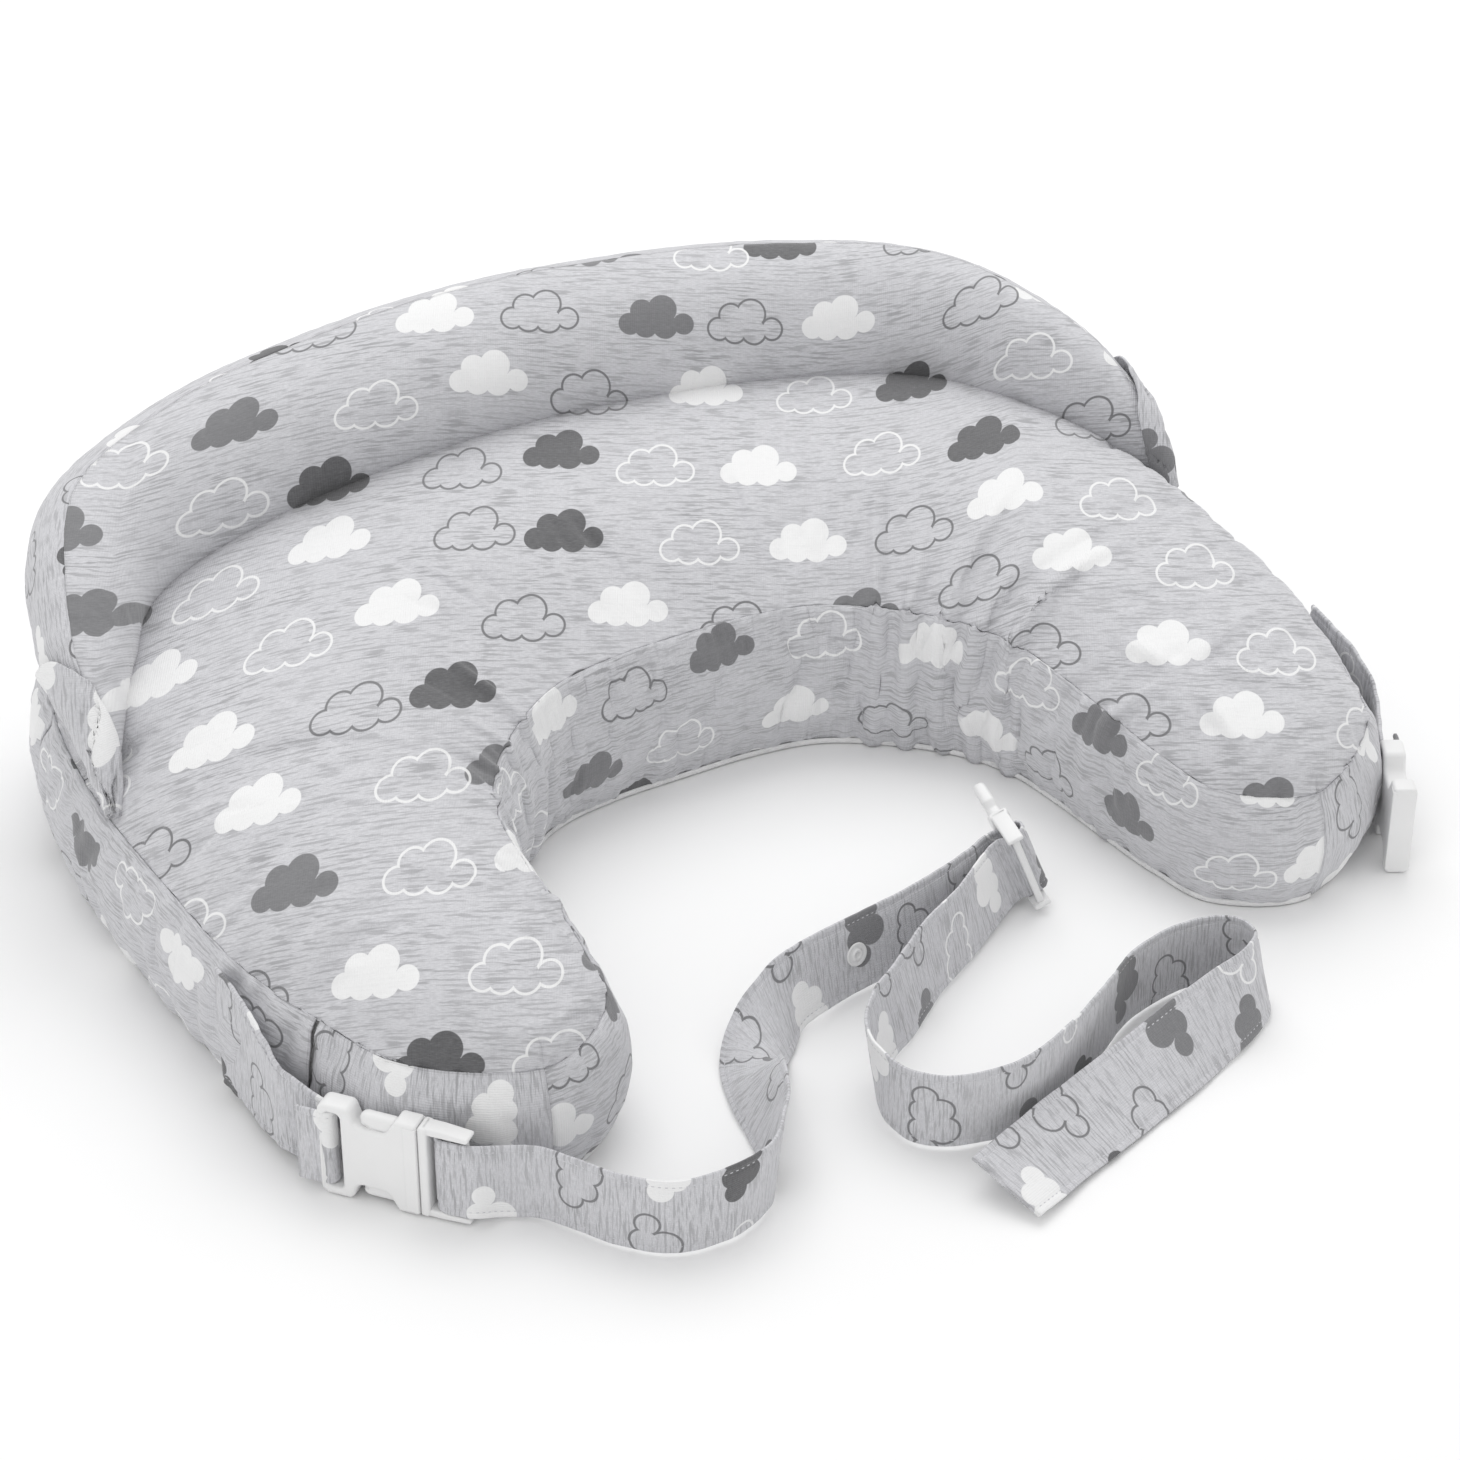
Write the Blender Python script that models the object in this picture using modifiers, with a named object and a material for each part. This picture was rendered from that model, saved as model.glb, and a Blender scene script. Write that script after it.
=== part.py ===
"""Nursing pillow: a U-shaped stuffed cushion with a raised fence along its back,
a zipped cover, and a waist belt on side-release buckles.

Metres, +Z up. The origin is the middle of the cushion's footprint on the floor.
+Y points to the fence, the arms reach towards -Y, and +X is the wearer's left.
"""
import math

import bmesh
import bpy
import numpy as np
from mathutils import Matrix, Vector

# ---------------------------------------------------------------- sizes
# Cushion plan, in a working frame whose Y is shifted at the end by Y_SHIFT.
HALF_WIDTH = 0.327        # middle plane to the widest point of the side seam
BACK_Y = 0.310            # outer seam at the middle of the back
BACK_RADIUS = 0.560       # the back seam is an arc of this radius
TIP_Y = -0.228            # front of each arm
TIP_X = HALF_WIDTH - 0.101      # middle plane to the middle of an arm's tip
WAIST_Y = 0.037           # inner seam at the middle, against the wearer
WAIST_HALF = HALF_WIDTH - 0.157 # middle plane to the inner side of an arm
SEAM_BACK = 0.092         # height of the top seam at the back
SEAM_TIP = 0.066          # height of the top seam at the tips
CROWN = 0.038             # how far the stuffed top rises above its seam
WALL_BULGE = 0.008        # how far the walls swell between their seams

# Fence: a stuffed roll that stands on the outer edge of the top.
FENCE_HALF_WIDTH = 0.046
FENCE_HALF_HEIGHT = 0.045
FENCE_CENTRE_Z = 0.149
FENCE_PROUD = 0.004       # overhang past the seam below it
FENCE_LAST = 5.05         # outline station of its two end rows
FENCE_LIFT = 0.0016       # gap over the cushion's top

# Fabric.
COVER = 0.0014            # cover fabric and its backing
LINER = 0.0008            # inner liner
GAP = 0.0005              # between layers
SEAM_GAP = 0.0008         # between panels that are sewn edge to edge

# Zip in the back panel.
ZIP_HALF_LENGTH = 0.150
ZIP_HEIGHT = 0.046
ZIP_TAPE_WIDTH = 0.011
ZIP_TAPE_THICK = 0.0006
ZIP_COIL_WIDTH = 0.0046
ZIP_COIL_THICK = 0.0020
ZIP_SLIDER_LENGTH = 0.012
ZIP_PULL_LENGTH = 0.024

# Belt and side-release buckles.
BELT_WIDTH = 0.043
BELT_THICK = 0.0020
STRAP_THICK = 0.0026
BUCKLE_WIDTH = 0.053
BUCKLE_THICK = 0.012
SOCKET_LENGTH = 0.051
SOCKET_WALL = 0.0025      # plastic left over and under the cavity
SLOT_HALF = BUCKLE_WIDTH / 2 - 0.0043   # half of the slot's length
BAR = 0.0035              # webbing bar, both ways
FLOOR_GAP = 0.0006
FIT = 0.0004              # between plug and socket
SNAP_RADIUS = 0.0060
SNAP_THICK = 0.0017

# ---------------------------------------------------------------- outline
# The outline's control stations run from 0 at the middle of the back to 10 at a tip.
STATIONS = 10
BAND_END = 8              # the side band ends and the belt's anchor starts here
BAND_BACK = 4             # the side band meets the back panel here
TOP_POWER = 2.6           # flatness of the crowned top across the arm


def outer_points():
    """Control points of the outer seam, from the back's middle to the right tip."""
    arc = [math.radians(a) for a in (0.0, 10.8, 21.4)]
    points = [(BACK_RADIUS * math.sin(a), BACK_Y - BACK_RADIUS * (1 - math.cos(a))) for a in arc]
    points += [(HALF_WIDTH - 0.045, BACK_Y - 0.088), (HALF_WIDTH - 0.011, BACK_Y - 0.165),
               (HALF_WIDTH, BACK_Y - 0.245), (HALF_WIDTH - 0.001, TIP_Y + 0.213),
               (HALF_WIDTH - 0.007, TIP_Y + 0.136), (HALF_WIDTH - 0.024, TIP_Y + 0.076),
               (HALF_WIDTH - 0.045, TIP_Y + 0.031), (TIP_X, TIP_Y)]
    return points


def inner_points():
    """Control points of the inner seam, matched one to one with the outer seam's."""
    return [(0.0, WAIST_Y), (WAIST_HALF - 0.125, WAIST_Y - 0.001),
            (WAIST_HALF - 0.086, WAIST_Y - 0.009), (WAIST_HALF - 0.052, WAIST_Y - 0.032),
            (WAIST_HALF - 0.025, WAIST_Y - 0.061), (WAIST_HALF - 0.011, WAIST_Y - 0.092),
            (WAIST_HALF - 0.006, TIP_Y + 0.138), (WAIST_HALF - 0.003, TIP_Y + 0.098),
            (WAIST_HALF + 0.001, TIP_Y + 0.058), (WAIST_HALF + 0.012, TIP_Y + 0.021),
            (TIP_X, TIP_Y)]


def catmull(p0, p1, p2, p3, t):
    """Point at t of the Catmull-Rom span from p1 to p2."""
    return 0.5 * (2 * p1 + (p2 - p0) * t + (2 * p0 - 5 * p1 + 4 * p2 - p3) * t ** 2
                  + (3 * p1 - p0 - 3 * p2 + p3) * t ** 3)


# The whole outline as one closed loop: the outer seam from the left tip round the
# back to the right tip, then the inner seam back to the left tip.
OUTER = np.array(outer_points())
INNER = np.array(inner_points())
MIRROR = np.array([-1.0, 1.0])
LOOP = np.vstack([OUTER[:0:-1] * MIRROR, OUTER, INNER[-2::-1], INNER[1:-1] * MIRROR])
LOOP_COUNT = len(LOOP)


def loop_point(t):
    """Point of the closed outline at loop parameter t, 0 at the left tip."""
    i = int(math.floor(t))
    p = [LOOP[(i + k) % LOOP_COUNT] for k in (-1, 0, 1, 2)]
    return catmull(p[0], p[1], p[2], p[3], t - i)


def loop_normal(t):
    """Outward normal of the outline at loop parameter t."""
    d = loop_point(t + 0.02) - loop_point(t - 0.02)
    return np.array([-d[1], d[0]]) / math.hypot(d[0], d[1])


# Rows of the cushion: each pairs one point of the outer seam with one of the inner
# seam. Rows are closer together near the tips, where the outline turns.
HALF_ROWS = list(np.arange(0.0, 9.0, 0.5)) + [9.0, 9.35, 9.65, 9.85, 10.0]
ROWS = np.array([-s for s in HALF_ROWS[:0:-1]] + HALF_ROWS)
ROW_COUNT = len(ROWS)


def outer_at(station):
    """Outer seam point and outward normal at a signed station, as linear between rows."""
    t = [ROWS[k] + STATIONS for k in range(ROW_COUNT)]
    k = min(int(np.searchsorted(ROWS, station, side="right")) - 1, ROW_COUNT - 2)
    f = (station - ROWS[k]) / (ROWS[k + 1] - ROWS[k])
    point = loop_point(t[k]) * (1 - f) + loop_point(t[k + 1]) * f
    normal = loop_normal(t[k]) * (1 - f) + loop_normal(t[k + 1]) * f
    return point, normal


def inner_at(station):
    """Inner seam point and its normal, which points out of the cushion to the wearer."""
    t = [3 * STATIONS - ROWS[k] for k in range(ROW_COUNT)]
    k = min(int(np.searchsorted(ROWS, station, side="right")) - 1, ROW_COUNT - 2)
    f = (station - ROWS[k]) / (ROWS[k + 1] - ROWS[k])
    point = loop_point(t[k]) * (1 - f) + loop_point(t[k + 1]) * f
    normal = loop_normal(t[k]) * (1 - f) + loop_normal(t[k + 1]) * f
    return point, normal


def seam_height(station):
    """Height of the top seam."""
    return SEAM_BACK + (SEAM_TIP - SEAM_BACK) * (abs(station) / STATIONS) ** 1.5


def crown_height(station):
    """Rise of the stuffed top over its seam, which fades to nothing at the tips."""
    return CROWN * math.sqrt(1 - (abs(station) / STATIONS) ** 6)


TOP_STEPS = (-1.0, -0.85, -0.5, 0.0, 0.5, 0.85, 1.0)
WALL_STEPS = (0.0, 1 / 3, 2 / 3, 1.0)


def top_line(station, inset, drop):
    """Points over the cushion from the inner to the outer seam."""
    outer, outer_n = outer_at(station)
    inner, inner_n = inner_at(station)
    outer = outer - outer_n * inset
    inner = inner - inner_n * inset
    line = []
    for v in TOP_STEPS:
        plan = inner * (1 - v) / 2 + outer * (1 + v) / 2
        rise = crown_height(station) * (1 - abs(v) ** TOP_POWER)
        line.append((plan[0], plan[1], seam_height(station) + rise - drop))
    return line


def wall_line(at, station, inset, low, high, steps):
    """Points up a wall between two heights; at is outer_at or inner_at."""
    point, normal = at(station)
    line = []
    for s in steps:
        height = seam_height(station)
        z = low + (height - high - low) * s
        plan = point + normal * (WALL_BULGE * math.sin(math.pi * s) - inset)
        line.append((plan[0], plan[1], z))
    return line


def bottom_line(station, inset, z):
    """Points across the underside from the inner to the outer seam."""
    outer, outer_n = outer_at(station)
    inner, inner_n = inner_at(station)
    outer = outer - outer_n * inset
    inner = inner - inner_n * inset
    return [(*(inner * (1 - v) / 2 + outer * (1 + v) / 2), z) for v in (-1.0, 0.0, 1.0)]


# The zip and the right socket set the footprint's middle.
ZIP_REACH = 0.0125        # how far the zip's slider stands out behind the back seam
SOCKET_REACH = 0.0119     # how far the right socket stands out in front of the tips
Y_SHIFT = -(BACK_Y + ZIP_REACH + TIP_Y - SOCKET_REACH) / 2
SHIFT = Vector((0.0, Y_SHIFT, 0.0))

# ---------------------------------------------------------------- scene helpers
for old in list(bpy.data.objects):
    bpy.data.objects.remove(old, do_unlink=True)

PILLOW = bpy.data.collections.new("nursing_pillow")
CUTTERS = bpy.data.collections.new("cutters")
bpy.context.scene.collection.children.link(PILLOW)
bpy.context.scene.collection.children.link(CUTTERS)


def material(name, colour, roughness):
    """A plain Principled material."""
    mat = bpy.data.materials.new(name)
    mat.use_nodes = True
    shader = mat.node_tree.nodes["Principled BSDF"]
    shader.inputs["Base Color"].default_value = (*colour, 1.0)
    shader.inputs["Roughness"].default_value = roughness
    shader.inputs["Metallic"].default_value = 0.0
    return mat


HEATHER = (0.52, 0.52, 0.55)
WHITE_CLOTH = (0.86, 0.86, 0.85)
WHITE_PLASTIC = (0.88, 0.88, 0.87)
FIBRE = (0.93, 0.93, 0.90)


def cloth(name, colour=HEATHER):
    """Material of a fabric sub-part."""
    return material(name + "_cloth", colour, 0.9)


def plastic(name):
    """Material of a moulded sub-part."""
    return material(name + "_plastic", WHITE_PLASTIC, 0.45)


def add_mesh(name, bm, mat, collection=PILLOW):
    """Make an object of a bmesh, in the shifted frame."""
    mesh = bpy.data.meshes.new(name)
    bm.to_mesh(mesh)
    bm.free()
    mesh.materials.append(mat)
    obj = bpy.data.objects.new(name, mesh)
    obj.location = SHIFT
    collection.objects.link(obj)
    return obj


def weld(bm):
    """Merge coincident points, drop empty faces and turn all faces outward."""
    bmesh.ops.remove_doubles(bm, verts=bm.verts, dist=1e-6)
    bmesh.ops.dissolve_degenerate(bm, edges=bm.edges, dist=1e-7)
    bmesh.ops.recalc_face_normals(bm, faces=bm.faces)


def loft_shell(name, front, back, mat, ends_meet=False):
    """A thin solid between two matched grids of points, closed round its edge.

    ends_meet says that the first and last lines fold back on themselves at the tips,
    where the two sides of the shell join and need no rim.
    """
    bm = bmesh.new()
    rows, cols = len(front), len(front[0])
    a = [[bm.verts.new(p) for p in line] for line in front]
    b = [[bm.verts.new(p) for p in line] for line in back]
    for i in range(rows - 1):
        for j in range(cols - 1):
            bm.faces.new((a[i][j], a[i][j + 1], a[i + 1][j + 1], a[i + 1][j]))
            bm.faces.new((b[i][j], b[i + 1][j], b[i + 1][j + 1], b[i][j + 1]))
    for i in range(rows - 1):
        for j in (0, cols - 1):
            bm.faces.new((a[i][j], a[i + 1][j], b[i + 1][j], b[i][j]))
    for j in range(0 if ends_meet else cols - 1):
        for i in (0, rows - 1):
            bm.faces.new((a[i][j], a[i][j + 1], b[i][j + 1], b[i][j]))
    weld(bm)
    return add_mesh(name, bm, mat)


def loft_ring(name, rings, mat):
    """A solid through closed rings of points; its ends are capped where they are open."""
    bm = bmesh.new()
    made = [[bm.verts.new(p) for p in ring] for ring in rings]
    count = len(made[0])
    for i in range(len(made) - 1):
        for j in range(count):
            k = (j + 1) % count
            bm.faces.new((made[i][j], made[i][k], made[i + 1][k], made[i + 1][j]))
    for ring in (made[0], made[-1]):
        spread = max((v.co - ring[0].co).length for v in ring)
        if spread > 1e-5 and len({tuple(round(c, 6) for c in v.co) for v in ring}) == count:
            bm.faces.new(ring)
    weld(bm)
    return add_mesh(name, bm, mat)


def place(obj, frame):
    """Set an object's world placement: frame, then the shift of the whole part."""
    obj.matrix_world = Matrix.Translation(SHIFT) @ frame
    return obj


def pivot(obj, point):
    """Move an object's origin to a point of its own frame, where its joint's axis passes."""
    point = Vector(point)
    obj.data.transform(Matrix.Translation(-point))
    obj.matrix_world = obj.matrix_world @ Matrix.Translation(point)
    return obj


def box(name, low, high, mat, collection=PILLOW):
    """A box between two corners, in its own frame."""
    bm = bmesh.new()
    bmesh.ops.create_cube(bm, size=1.0)
    low, high = Vector(low), Vector(high)
    size = high - low
    for v in bm.verts:
        v.co = Vector([v.co[k] * size[k] + (low[k] + high[k]) / 2 for k in range(3)])
    return add_mesh(name, bm, mat, collection)


def cylinder(name, centre, axis, radius, length, mat, collection=PILLOW, segments=24):
    """A cylinder about a centre point, in its own frame."""
    bm = bmesh.new()
    turn = Vector((0, 0, 1)).rotation_difference(Vector(axis)).to_matrix().to_4x4()
    bmesh.ops.create_cone(bm, cap_ends=True, segments=segments, radius1=radius, radius2=radius,
                          depth=length, matrix=Matrix.Translation(centre) @ turn)
    return add_mesh(name, bm, mat, collection)


def cut(obj, cutter, operation="DIFFERENCE"):
    """Cut or join with a hidden helper object."""
    cutter.hide_render = True
    cutter.display_type = "WIRE"
    mod = obj.modifiers.new(operation.lower() + "_" + cutter.name, "BOOLEAN")
    mod.operation = operation
    mod.object = cutter


def helper():
    """Material for the hidden cutters."""
    return bpy.data.materials.get("cutter") or material("cutter", (1.0, 0.2, 0.2), 0.5)


def bevel(obj, width, segments=2):
    """Round an object's edges before it is cut."""
    mod = obj.modifiers.new("round_edges", "BEVEL")
    mod.width = width
    mod.segments = segments
    mod.limit_method = "ANGLE"


# ---------------------------------------------------------------- cushion
WALL_LOW = COVER + GAP                 # the walls stand on the bottom panel
LINER_IN = COVER + GAP                 # the liner lies inside the cover
CORE_IN = LINER_IN + LINER + GAP       # the filling lies inside the liner


def inside_rows(first, last):
    """The rows strictly between two stations, with the two stations as ends."""
    return [first] + [s for s in ROWS if first + 1e-6 < s < last - 1e-6] + [last]


def trim(at, station, towards):
    """A station moved by half a seam gap towards another one."""
    step = 0.05 if towards > station else -0.05
    length = float(np.linalg.norm(at(station + step)[0] - at(station)[0]))
    return station + step * (SEAM_GAP / 2) / length


def make_wall(name, at, first, last, mat):
    """One panel of the wall between two stations, from the bottom panel to the seam."""
    stations = inside_rows(trim(at, first, last), trim(at, last, first))
    front = [wall_line(at, s, 0.0, WALL_LOW, 0.0, WALL_STEPS) for s in stations]
    back = [wall_line(at, s, COVER, WALL_LOW, 0.0, WALL_STEPS) for s in stations]
    return loft_shell(name, front, back, mat)


def make_cushion():
    """Top, walls and bottom of the cover, the liner's two halves and the filling."""
    inset = COVER + GAP
    loft_shell("top_panel", [top_line(s, inset, 0.0) for s in ROWS],
               [top_line(s, inset, COVER) for s in ROWS], cloth("top_panel"))
    loft_shell("bottom_panel", [bottom_line(s, 0.0, 0.0) for s in ROWS],
               [bottom_line(s, 0.0, COVER) for s in ROWS], cloth("bottom_panel", WHITE_CLOTH))
    make_wall("inner_gusset", inner_at, -STATIONS, STATIONS, cloth("inner_gusset"))
    make_wall("end_gusset_left", outer_at, -STATIONS, -BAND_END, cloth("end_gusset_left"))
    make_wall("end_gusset_right", outer_at, BAND_END, STATIONS, cloth("end_gusset_right"))
    make_wall("side_band_left", outer_at, -BAND_END, -BAND_BACK, cloth("side_band_left"))
    make_wall("side_band_right", outer_at, BAND_BACK, BAND_END, cloth("side_band_right"))
    make_wall("back_panel", outer_at, -BAND_BACK, BAND_BACK, cloth("back_panel"))

    middle = WALL_STEPS[1]
    part_gap = SEAM_GAP / SEAM_BACK / 2
    upper = (middle + part_gap, WALL_STEPS[2], WALL_STEPS[3])
    lower = (WALL_STEPS[0], middle - part_gap)

    def upper_line(s, inset):
        up = wall_line(inner_at, s, inset, inset, inset, upper)
        down = wall_line(outer_at, s, inset, inset, inset, upper)[::-1]
        return up[:-1] + top_line(s, inset, inset) + down[1:]

    def lower_line(s, inset):
        inner = wall_line(inner_at, s, inset, inset, inset, lower)[::-1]
        outer = wall_line(outer_at, s, inset, inset, inset, lower)
        return inner[:-1] + bottom_line(s, inset, inset) + outer[1:]

    for name, line in (("liner_upper", upper_line), ("liner_lower", lower_line)):
        loft_shell(name, [line(s, LINER_IN) for s in ROWS],
                   [line(s, LINER_IN + LINER) for s in ROWS], cloth(name, WHITE_CLOTH), ends_meet=True)

    def core_ring(s):
        up = wall_line(inner_at, s, CORE_IN, CORE_IN, CORE_IN, WALL_STEPS)
        down = wall_line(outer_at, s, CORE_IN, CORE_IN, CORE_IN, WALL_STEPS)[::-1]
        return up[:-1] + top_line(s, CORE_IN, CORE_IN) + down[1:] + [bottom_line(s, CORE_IN, CORE_IN)[1]]

    loft_ring("filling_core", [core_ring(s) for s in ROWS], cloth("filling_core", FIBRE))


# ---------------------------------------------------------------- fence
FENCE_ROWS = [-FENCE_LAST] + [s for s in ROWS if abs(s) < FENCE_LAST - 0.1] + [FENCE_LAST]
FENCE_ANGLES = [math.radians(a) for a in (214, 190, 163, 136, 109, 82, 55, 28, 1, -26)]


def fence_scale(station, end, power, blunt=0.5):
    """A size along the roll: full at the back and nothing at a station past its last row."""
    return (1 - (abs(station) / end) ** power) ** blunt


def under_fence(station, distance):
    """Height of the cushion's top at a distance in from the outer seam."""
    line = np.array(top_line(station, 0.0, 0.0))
    outer = line[-1]
    reach = np.hypot(line[:, 0] - outer[0], line[:, 1] - outer[1])[::-1]
    return float(np.interp(max(distance, 0.0), reach, line[::-1, 2]))


def fence_line(station, inset, angles):
    """Points round the roll at one row, kept clear of the cushion below."""
    outer = np.array(top_line(station, 0.0, 0.0)[-1][:2])
    inner = np.array(top_line(station, 0.0, 0.0)[0][:2])
    across = (outer - inner) / np.linalg.norm(outer - inner)
    wide = fence_scale(station, FENCE_LAST + 0.30, 2.6, 1.0)
    tall = fence_scale(station, FENCE_LAST + 0.25, 3.6)
    half = FENCE_HALF_WIDTH * wide
    seat = half - FENCE_PROUD * wide
    middle_z = seam_height(station) + (FENCE_CENTRE_Z - SEAM_BACK) * tall
    line = []
    for a in angles:
        out = (half - inset) * math.cos(a) - seat
        z = middle_z + (FENCE_HALF_HEIGHT * tall - inset) * math.sin(a)
        z = max(z, under_fence(station, -out) + FENCE_LIFT + inset)
        plan = outer + across * out
        line.append((plan[0], plan[1], z))
    return line


def make_fence():
    """The roll's cover, open along its foot where it is sewn down, and its filling."""
    front = [fence_line(s, 0.0, FENCE_ANGLES) for s in FENCE_ROWS]
    back = [fence_line(s, COVER, FENCE_ANGLES) for s in FENCE_ROWS]
    loft_shell("fence_cover", front, back, cloth("fence_cover"))
    ring_angles = FENCE_ANGLES + [math.radians(a) for a in (-60, -90, -120)]
    rings = [fence_line(s, COVER + GAP, ring_angles) for s in FENCE_ROWS]
    loft_ring("fence_core", rings, cloth("fence_core", FIBRE))


# ---------------------------------------------------------------- zip
ZIP_AXIS_Y = BACK_Y - BACK_RADIUS
ZIP_FACE = BACK_RADIUS + WALL_BULGE * math.sin(math.pi / 3) + GAP
ZIP_SIDE_GAP = 0.0020     # between coil and tape, where the slider's flanges run
ZIP_END = ZIP_HALF_LENGTH / BACK_RADIUS


def on_arc(radius, angle, z):
    """Point on a circle about the back's centre of curvature, angle 0 at the middle."""
    return (radius * math.sin(angle), ZIP_AXIS_Y + radius * math.cos(angle), z)


def arc_strip(name, start, end, inner, outer, low, high, mat, steps=16):
    """A strip that follows the back's arc."""
    angles = [start + (end - start) * k / steps for k in range(steps + 1)]
    rings = [[on_arc(inner, a, low), on_arc(outer, a, low), on_arc(outer, a, high),
              on_arc(inner, a, high)] for a in angles]
    return loft_ring(name, rings, mat)


def zip_frame(angle):
    """Frame on the zip: X along it, Y out of the panel, Z up; at the coil's base."""
    x = Vector((math.cos(angle), -math.sin(angle), 0.0))
    y = Vector((math.sin(angle), math.cos(angle), 0.0))
    z = Vector((0.0, 0.0, 1.0))
    turn = Matrix((x, y, z)).transposed().to_4x4()
    return Matrix.Translation(on_arc(ZIP_FACE, angle, ZIP_HEIGHT)) @ turn


def make_zip():
    """Tapes, coil, end stops, slider and pull."""
    tape_mat = cloth("zip_tape")
    half_coil = ZIP_COIL_WIDTH / 2
    tape_in = half_coil + ZIP_SIDE_GAP
    for name, sign in (("zip_tape_upper", 1), ("zip_tape_lower", -1)):
        edges = sorted((ZIP_HEIGHT + sign * tape_in, ZIP_HEIGHT + sign * (tape_in + ZIP_TAPE_WIDTH)))
        arc_strip(name, -ZIP_END, ZIP_END, ZIP_FACE, ZIP_FACE + ZIP_TAPE_THICK, edges[0], edges[1],
                  tape_mat)
    stop = 0.004 / BACK_RADIUS
    clear = 0.0005 / BACK_RADIUS
    coil_end = ZIP_END - stop - clear
    arc_strip("zip_coil", -coil_end, coil_end, ZIP_FACE, ZIP_FACE + ZIP_COIL_THICK,
              ZIP_HEIGHT - half_coil, ZIP_HEIGHT + half_coil, plastic("zip_coil"), steps=24)
    for name, sign in (("zip_stop_left", -1), ("zip_stop_right", 1)):
        ends = sorted((sign * ZIP_END, sign * (ZIP_END - stop)))
        arc_strip(name, ends[0], ends[1], ZIP_FACE, ZIP_FACE + ZIP_COIL_THICK + 0.0008,
                  ZIP_HEIGHT - half_coil, ZIP_HEIGHT + half_coil, plastic(name), steps=1)

    # The slider rests at the left end of its travel, as on a closed zip.
    rest = -(coil_end - (ZIP_SLIDER_LENGTH / 2 + 0.002) / BACK_RADIUS)
    frame = zip_frame(rest)
    half = ZIP_SLIDER_LENGTH / 2
    plate_low = ZIP_COIL_THICK + 0.0006
    plate_high = plate_low + 0.0014
    rail_in = half_coil + 0.0004
    rail_out = rail_in + 0.0010
    bridge_high = plate_high + 0.0042
    slider = box("zip_slider", (-half, plate_low, -rail_out), (half, plate_high, rail_out),
                 plastic("zip_slider"))
    for k, sign in enumerate((1, -1)):
        edges = sorted((sign * rail_in, sign * rail_out))
        rail = box("slider_rail_%d" % k, (-half, 0.0009, edges[0]), (half, plate_low + 0.0002, edges[1]),
                   helper(), CUTTERS)
        place(rail, frame)
        cut(slider, rail, "UNION")
    bridge = box("slider_bridge", (-half + 0.001, plate_high - 0.0004, -0.0011),
                 (half - 0.001, bridge_high, 0.0011), helper(), CUTTERS)
    eye = box("slider_eye", (-half + 0.0022, plate_high, -0.01),
              (half - 0.0022, bridge_high - 0.0011, 0.01), helper(), CUTTERS)
    place(bridge, frame)
    place(eye, frame)
    cut(slider, bridge, "UNION")
    cut(slider, eye)
    place(slider, frame)
    pivot(slider, frame.inverted() @ Vector((0.0, ZIP_AXIS_Y, ZIP_HEIGHT)))

    # The pull hangs from a cross bar under the bridge and lies along the zip.
    bar_y = plate_high + 0.0016
    pull = box("zip_pull", (-0.0007, bar_y - 0.0007, -0.0032), (ZIP_PULL_LENGTH, bar_y + 0.0007, 0.0032),
               plastic("zip_pull"))
    window = box("pull_window", (0.0007, bar_y - 0.005, -0.0018), (half + 0.0025, bar_y + 0.005, 0.0018),
                 helper(), CUTTERS)
    place(window, frame)
    place(pull, frame)
    pivot(pull, (0.0, bar_y, 0.0))
    cut(pull, window)


# ---------------------------------------------------------------- buckles
CAVITY_HALF = BUCKLE_WIDTH / 2 - 0.0045  # half of the cavity's width at the mouth
CAVITY_START = SOCKET_LENGTH - 0.033     # its inner end
WINDOW_RADIUS = 0.0110    # round cut-outs that show the arms' pads
WINDOW_X = SOCKET_LENGTH - 0.018
ARM_ROOT_X = SOCKET_LENGTH - 0.0010
ARM_ROOT_Z = BUCKLE_WIDTH / 2 - 0.0095


def buckle_frame(point, heading, width_axis):
    """Frame of a buckle half: X along it towards the belt, Z across the belt."""
    x = Vector(heading).normalized()
    z = Vector(width_axis)
    z = (z - x * z.dot(x)).normalized()
    y = z.cross(x)
    turn = Matrix((x, y, z)).transposed().to_4x4()
    return Matrix.Translation(point) @ turn


def make_socket(name, frame):
    """Side-release socket: a flat box with a mouth, two round cut-outs and a webbing bar."""
    half_w = BUCKLE_WIDTH / 2
    half_t = BUCKLE_THICK / 2
    socket = box(name, (0.0, -half_t, -half_w), (SOCKET_LENGTH, half_t, half_w), plastic(name))
    bevel(socket, 0.003)
    place(socket, frame)
    cavity_t = half_t - SOCKET_WALL
    tools = [box(name + "_cavity", (CAVITY_START, -cavity_t, -CAVITY_HALF),
                 (SOCKET_LENGTH + 0.01, cavity_t, CAVITY_HALF), helper(), CUTTERS),
             box(name + "_slot", (BAR, -0.02, -SLOT_HALF), (BAR + 0.0075, 0.02, SLOT_HALF),
                 helper(), CUTTERS)]
    for k, sign in enumerate((1, -1)):
        sides = sorted((sign * BAR / 2, sign * 0.02))
        tools.append(box(name + "_bar_relief_%d" % k, (-0.01, sides[0], -SLOT_HALF),
                         (BAR + 0.001, sides[1], SLOT_HALF), helper(), CUTTERS))
        centre = (WINDOW_X, 0.0, sign * (half_w + 0.0035))
        tools.append(cylinder(name + "_window_%d" % k, centre, (0, 1, 0), WINDOW_RADIUS, 0.05,
                              helper(), CUTTERS, segments=32))
    for tool in tools:
        place(tool, frame)
        cut(socket, tool)
    return pivot(socket, (BAR / 2, 0.0, 0.0))


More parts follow.
